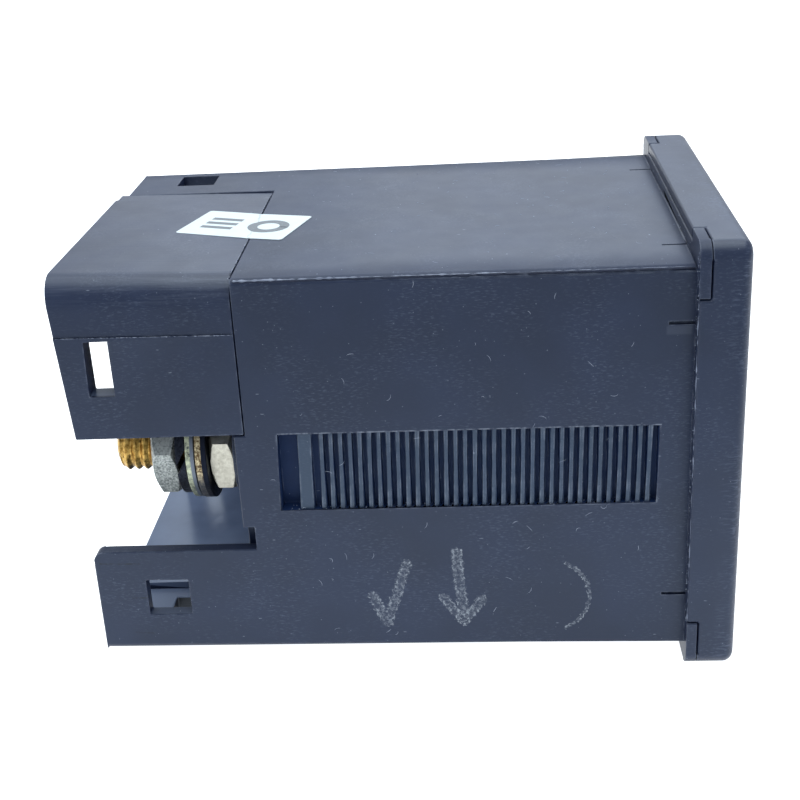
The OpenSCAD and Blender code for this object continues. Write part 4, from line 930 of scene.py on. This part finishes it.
def crumbs(name, low, high, count, size, material):
    """Crumbs strewn in a box: small spheres, each squeezed and dented by chance, with its poles closed."""
    polar, turn = np.meshgrid(np.linspace(0, math.pi, CRUMB_RINGS),
                              np.linspace(0, 2 * math.pi, CRUMB_SIDES, endpoint=False), indexing="ij")
    way = np.stack([np.sin(polar) * np.cos(turn), np.sin(polar) * np.sin(turn), np.cos(polar)], -1)
    way = way.reshape(-1, 3)
    middle = rng.uniform(low, high, (count, 1, 3))
    radius = rng.uniform(*size, (count, 1, 1)) * rng.uniform(0.6, 1.3, (count, 1, 3))
    dents = rng.uniform(0.75, 1.2, (count, len(way), 1))
    dents[:, :CRUMB_SIDES] = dents[:, :1]
    dents[:, -CRUMB_SIDES:] = dents[:, -1:]
    points = middle + radius * dents * way[None]
    faces = repeated(grid_faces(CRUMB_RINGS, CRUMB_SIDES, wrap_columns=True), len(way), count)
    return new_piece(name, points, faces, material, sharp_turn=80)


def caught_lint():
    """Lint caught behind the bezel, along the near skirt and over the top, dust strewn over the top, and
    lint on the lower ledge of the near track."""
    back = BEZEL_HIGH.y
    coarse = (0.03 * MM, 0.08 * MM)
    crumbs("side_lint", (-23.8 * MM, back - 0.02 * MM, -19 * MM), (-22.6 * MM, back + 0.03 * MM, 23 * MM),
           110, coarse, LOOSE_DUST)
    crumbs("top_lint", (-18 * MM, back, 21.5 * MM), (20 * MM, back + 0.1 * MM, 23.0 * MM),
           36, coarse, LOOSE_DUST)
    crumbs("top_dust", (-21.5 * MM, 1 * MM, BODY_TOP), (21 * MM, 45 * MM, BODY_TOP + 0.01 * MM),
           120, (0.02 * MM, 0.065 * MM), LOOSE_DUST)
    crumbs("track_lint", (-22.3 * MM, 4 * MM, -4.46 * MM), (-21.2 * MM, 42 * MM, -4.43 * MM),
           60, (0.03 * MM, 0.07 * MM), LOOSE_DUST)


FIBRE_STEPS = 9
FIBRE_SIDES = 4
FIBRE_LENGTHS = (0.4 * MM, 1.2 * MM)


def fibres(name, low, high, lift, count, thick, material):
    """Short curled hairs lying on a flat face. Each is a ring carried along an arc in the plane of the face:
    the heading starts by chance and turns evenly, the place is the running sum of the headings, and the
    radius falls to nothing at both ends. Low and high differ along two axes, and lift is the direction off
    the face."""
    lift = np.array(lift, float)
    first = np.roll(lift, 1)
    second = np.cross(lift, first)
    middle = rng.uniform(low, high, (count, 1, 3))
    share = np.linspace(0, 1, FIBRE_STEPS)[None, :]
    heading = rng.uniform(0, 2 * math.pi, (count, 1)) + rng.normal(0, 1.6, (count, 1)) * share
    step = rng.uniform(*FIBRE_LENGTHS, (count, 1)) / FIBRE_STEPS
    along = np.cumsum(step * np.cos(heading), 1)[..., None]
    across = np.cumsum(step * np.sin(heading), 1)[..., None]
    path = middle + along * first + across * second
    side = (np.cos(heading)[..., None] * second - np.sin(heading)[..., None] * first)[:, :, None]
    turn = np.linspace(0, 2 * math.pi, FIBRE_SIDES, endpoint=False)[None, None, :, None]
    radius = (thick * np.sin(math.pi * share) ** 0.5)[..., None, None]
    points = path[:, :, None] + radius * (np.cos(turn) * side + np.sin(turn) * lift)
    faces = grid_faces(FIBRE_STEPS, FIBRE_SIDES, wrap_columns=True)
    faces = repeated(faces, FIBRE_STEPS * FIBRE_SIDES, count)
    return new_piece(name, points, faces, material, sharp_turn=80)


def hairs():
    """Hairs on the near side and on the top."""
    fibres("side_hairs", (-BODY_SIDE, 4 * MM, -20 * MM), (-BODY_SIDE, 44 * MM, 20 * MM), (-1, 0, 0),
           44, 0.021 * MM, LOOSE_DUST)
    fibres("top_hairs", (-21 * MM, 2 * MM, BODY_TOP), (21 * MM, 40 * MM, BODY_TOP), (0, 0, 1),
           44, 0.024 * MM, LOOSE_DUST)


# Stage, light and camera

# Rise of the floor from under the bezel to the rear cover's foot, over the way between them
FLOOR_SLOPE = 1.88 / 64.1
FLOOR_REACH = 4.0
FLOOR_STEPS = 9
GLOW_FROM, GLOW_TO = -0.17, -0.03
GLOW_LOW, GLOW_HIGH = 0.03, 1.09
CAMERA_AT = Vector((-150.9, 20.65, 63.66)) * MM
CAMERA_AZIMUTH, CAMERA_ELEVATION, CAMERA_ROLL = 273.995, 23.36, -3.147
CAMERA_FOCAL_PX = 1372.5
PHOTO_PX = 800
SENSOR_MM = 36.0


def camera():
    """Camera at the photo's angle, rolled a little about its own line of sight."""
    data = bpy.data.cameras.new("camera")
    data.sensor_width = SENSOR_MM
    data.lens = CAMERA_FOCAL_PX / PHOTO_PX * SENSOR_MM
    data.clip_start, data.clip_end = 0.005, 50
    azimuth, elevation = math.radians(CAMERA_AZIMUTH), math.radians(CAMERA_ELEVATION)
    back = Vector((math.sin(azimuth) * math.cos(elevation), -math.cos(azimuth) * math.cos(elevation),
                   math.sin(elevation)))
    right = Vector((0, 0, 1)).cross(back).normalized()
    up = back.cross(right)
    turn = Matrix((right, up, back)).transposed().to_4x4()
    roll = Matrix.Rotation(math.radians(CAMERA_ROLL), 4, "Z")
    shooter = bpy.data.objects.new("camera", data)
    shooter.matrix_world = Matrix.Translation(CAMERA_AT) @ turn @ roll
    scene.collection.objects.link(shooter)
    scene.camera = shooter


def floor():
    """Pale floor with painted light: a wide grid tilted so that it touches the bezel's lower edge and the
    rear cover, glowing under the object, which washes out its shadow, and less towards the front."""
    ticks = np.linspace(-FLOOR_REACH, FLOOR_REACH, FLOOR_STEPS)
    u, v = np.meshgrid(ticks, ticks, indexing="ij")
    points = np.stack([u, v, BEZEL_LOW.z + v * FLOOR_SLOPE], -1)
    f = Finish("floor_glow", IOR=1.4)
    f.put("Base Color", (0.50, 0.505, 0.51, 1.0))
    f.put("Roughness", 0.8)
    # Painted light: the floor glows, most under the object
    f.put("Emission Color", (0.95, 0.98, 1.0, 1.0))
    f.put("Emission Strength", f.span(f.axis("X"), GLOW_FROM, GLOW_TO, GLOW_LOW, GLOW_HIGH, "SMOOTHSTEP"))
    mesh = bpy.data.meshes.new("floor")
    mesh.from_pydata(points.reshape(-1, 3).tolist(), [], grid_faces(FLOOR_STEPS, FLOOR_STEPS).tolist())
    mesh.materials.append(f.material)
    piece = bpy.data.objects.new("floor", mesh)
    scene.collection.objects.link(piece)


def soft_light(name, at, size, power, colour, aim=(0, 0.03, 0)):
    """Broad rectangular light at a place, turned to look at `aim`."""
    data = bpy.data.lights.new(name, "AREA")
    data.shape = "RECTANGLE"
    data.size, data.size_y = size
    data.energy = power
    data.color = colour
    lamp = bpy.data.objects.new(name, data)
    lamp.location = at
    lamp.rotation_euler = (Vector(aim) - Vector(at)).to_track_quat("-Z", "Y").to_euler()
    scene.collection.objects.link(lamp)


def studio():
    """White room, one broad light overhead and one behind the object that shows in the top's gloss."""
    world = bpy.data.worlds.new("room")
    world.use_nodes = True
    shade = world.node_tree.nodes["Background"].inputs
    shade["Color"].default_value = (0.90, 0.95, 1.0, 1.0)
    shade["Strength"].default_value = 0.75
    scene.world = world
    soft_light("overhead", (0.1, 0.0, 0.9), (0.9, 0.9), 9.0, (0.95, 0.98, 1.0))
    soft_light("behind", (0.9, -0.10, 0.58), (0.95, 0.46), 3.4, (0.78, 0.88, 1.0))
    scene.view_settings.view_transform = "Standard"


dress_solids()
finish_mouldings()
finish_hardware()
stud("terminal_bolt_left")
stud("terminal_bolt_right")
label()
dial_scale()
flash_lines()
caught_lint()
hairs()
floor()
studio()
camera()
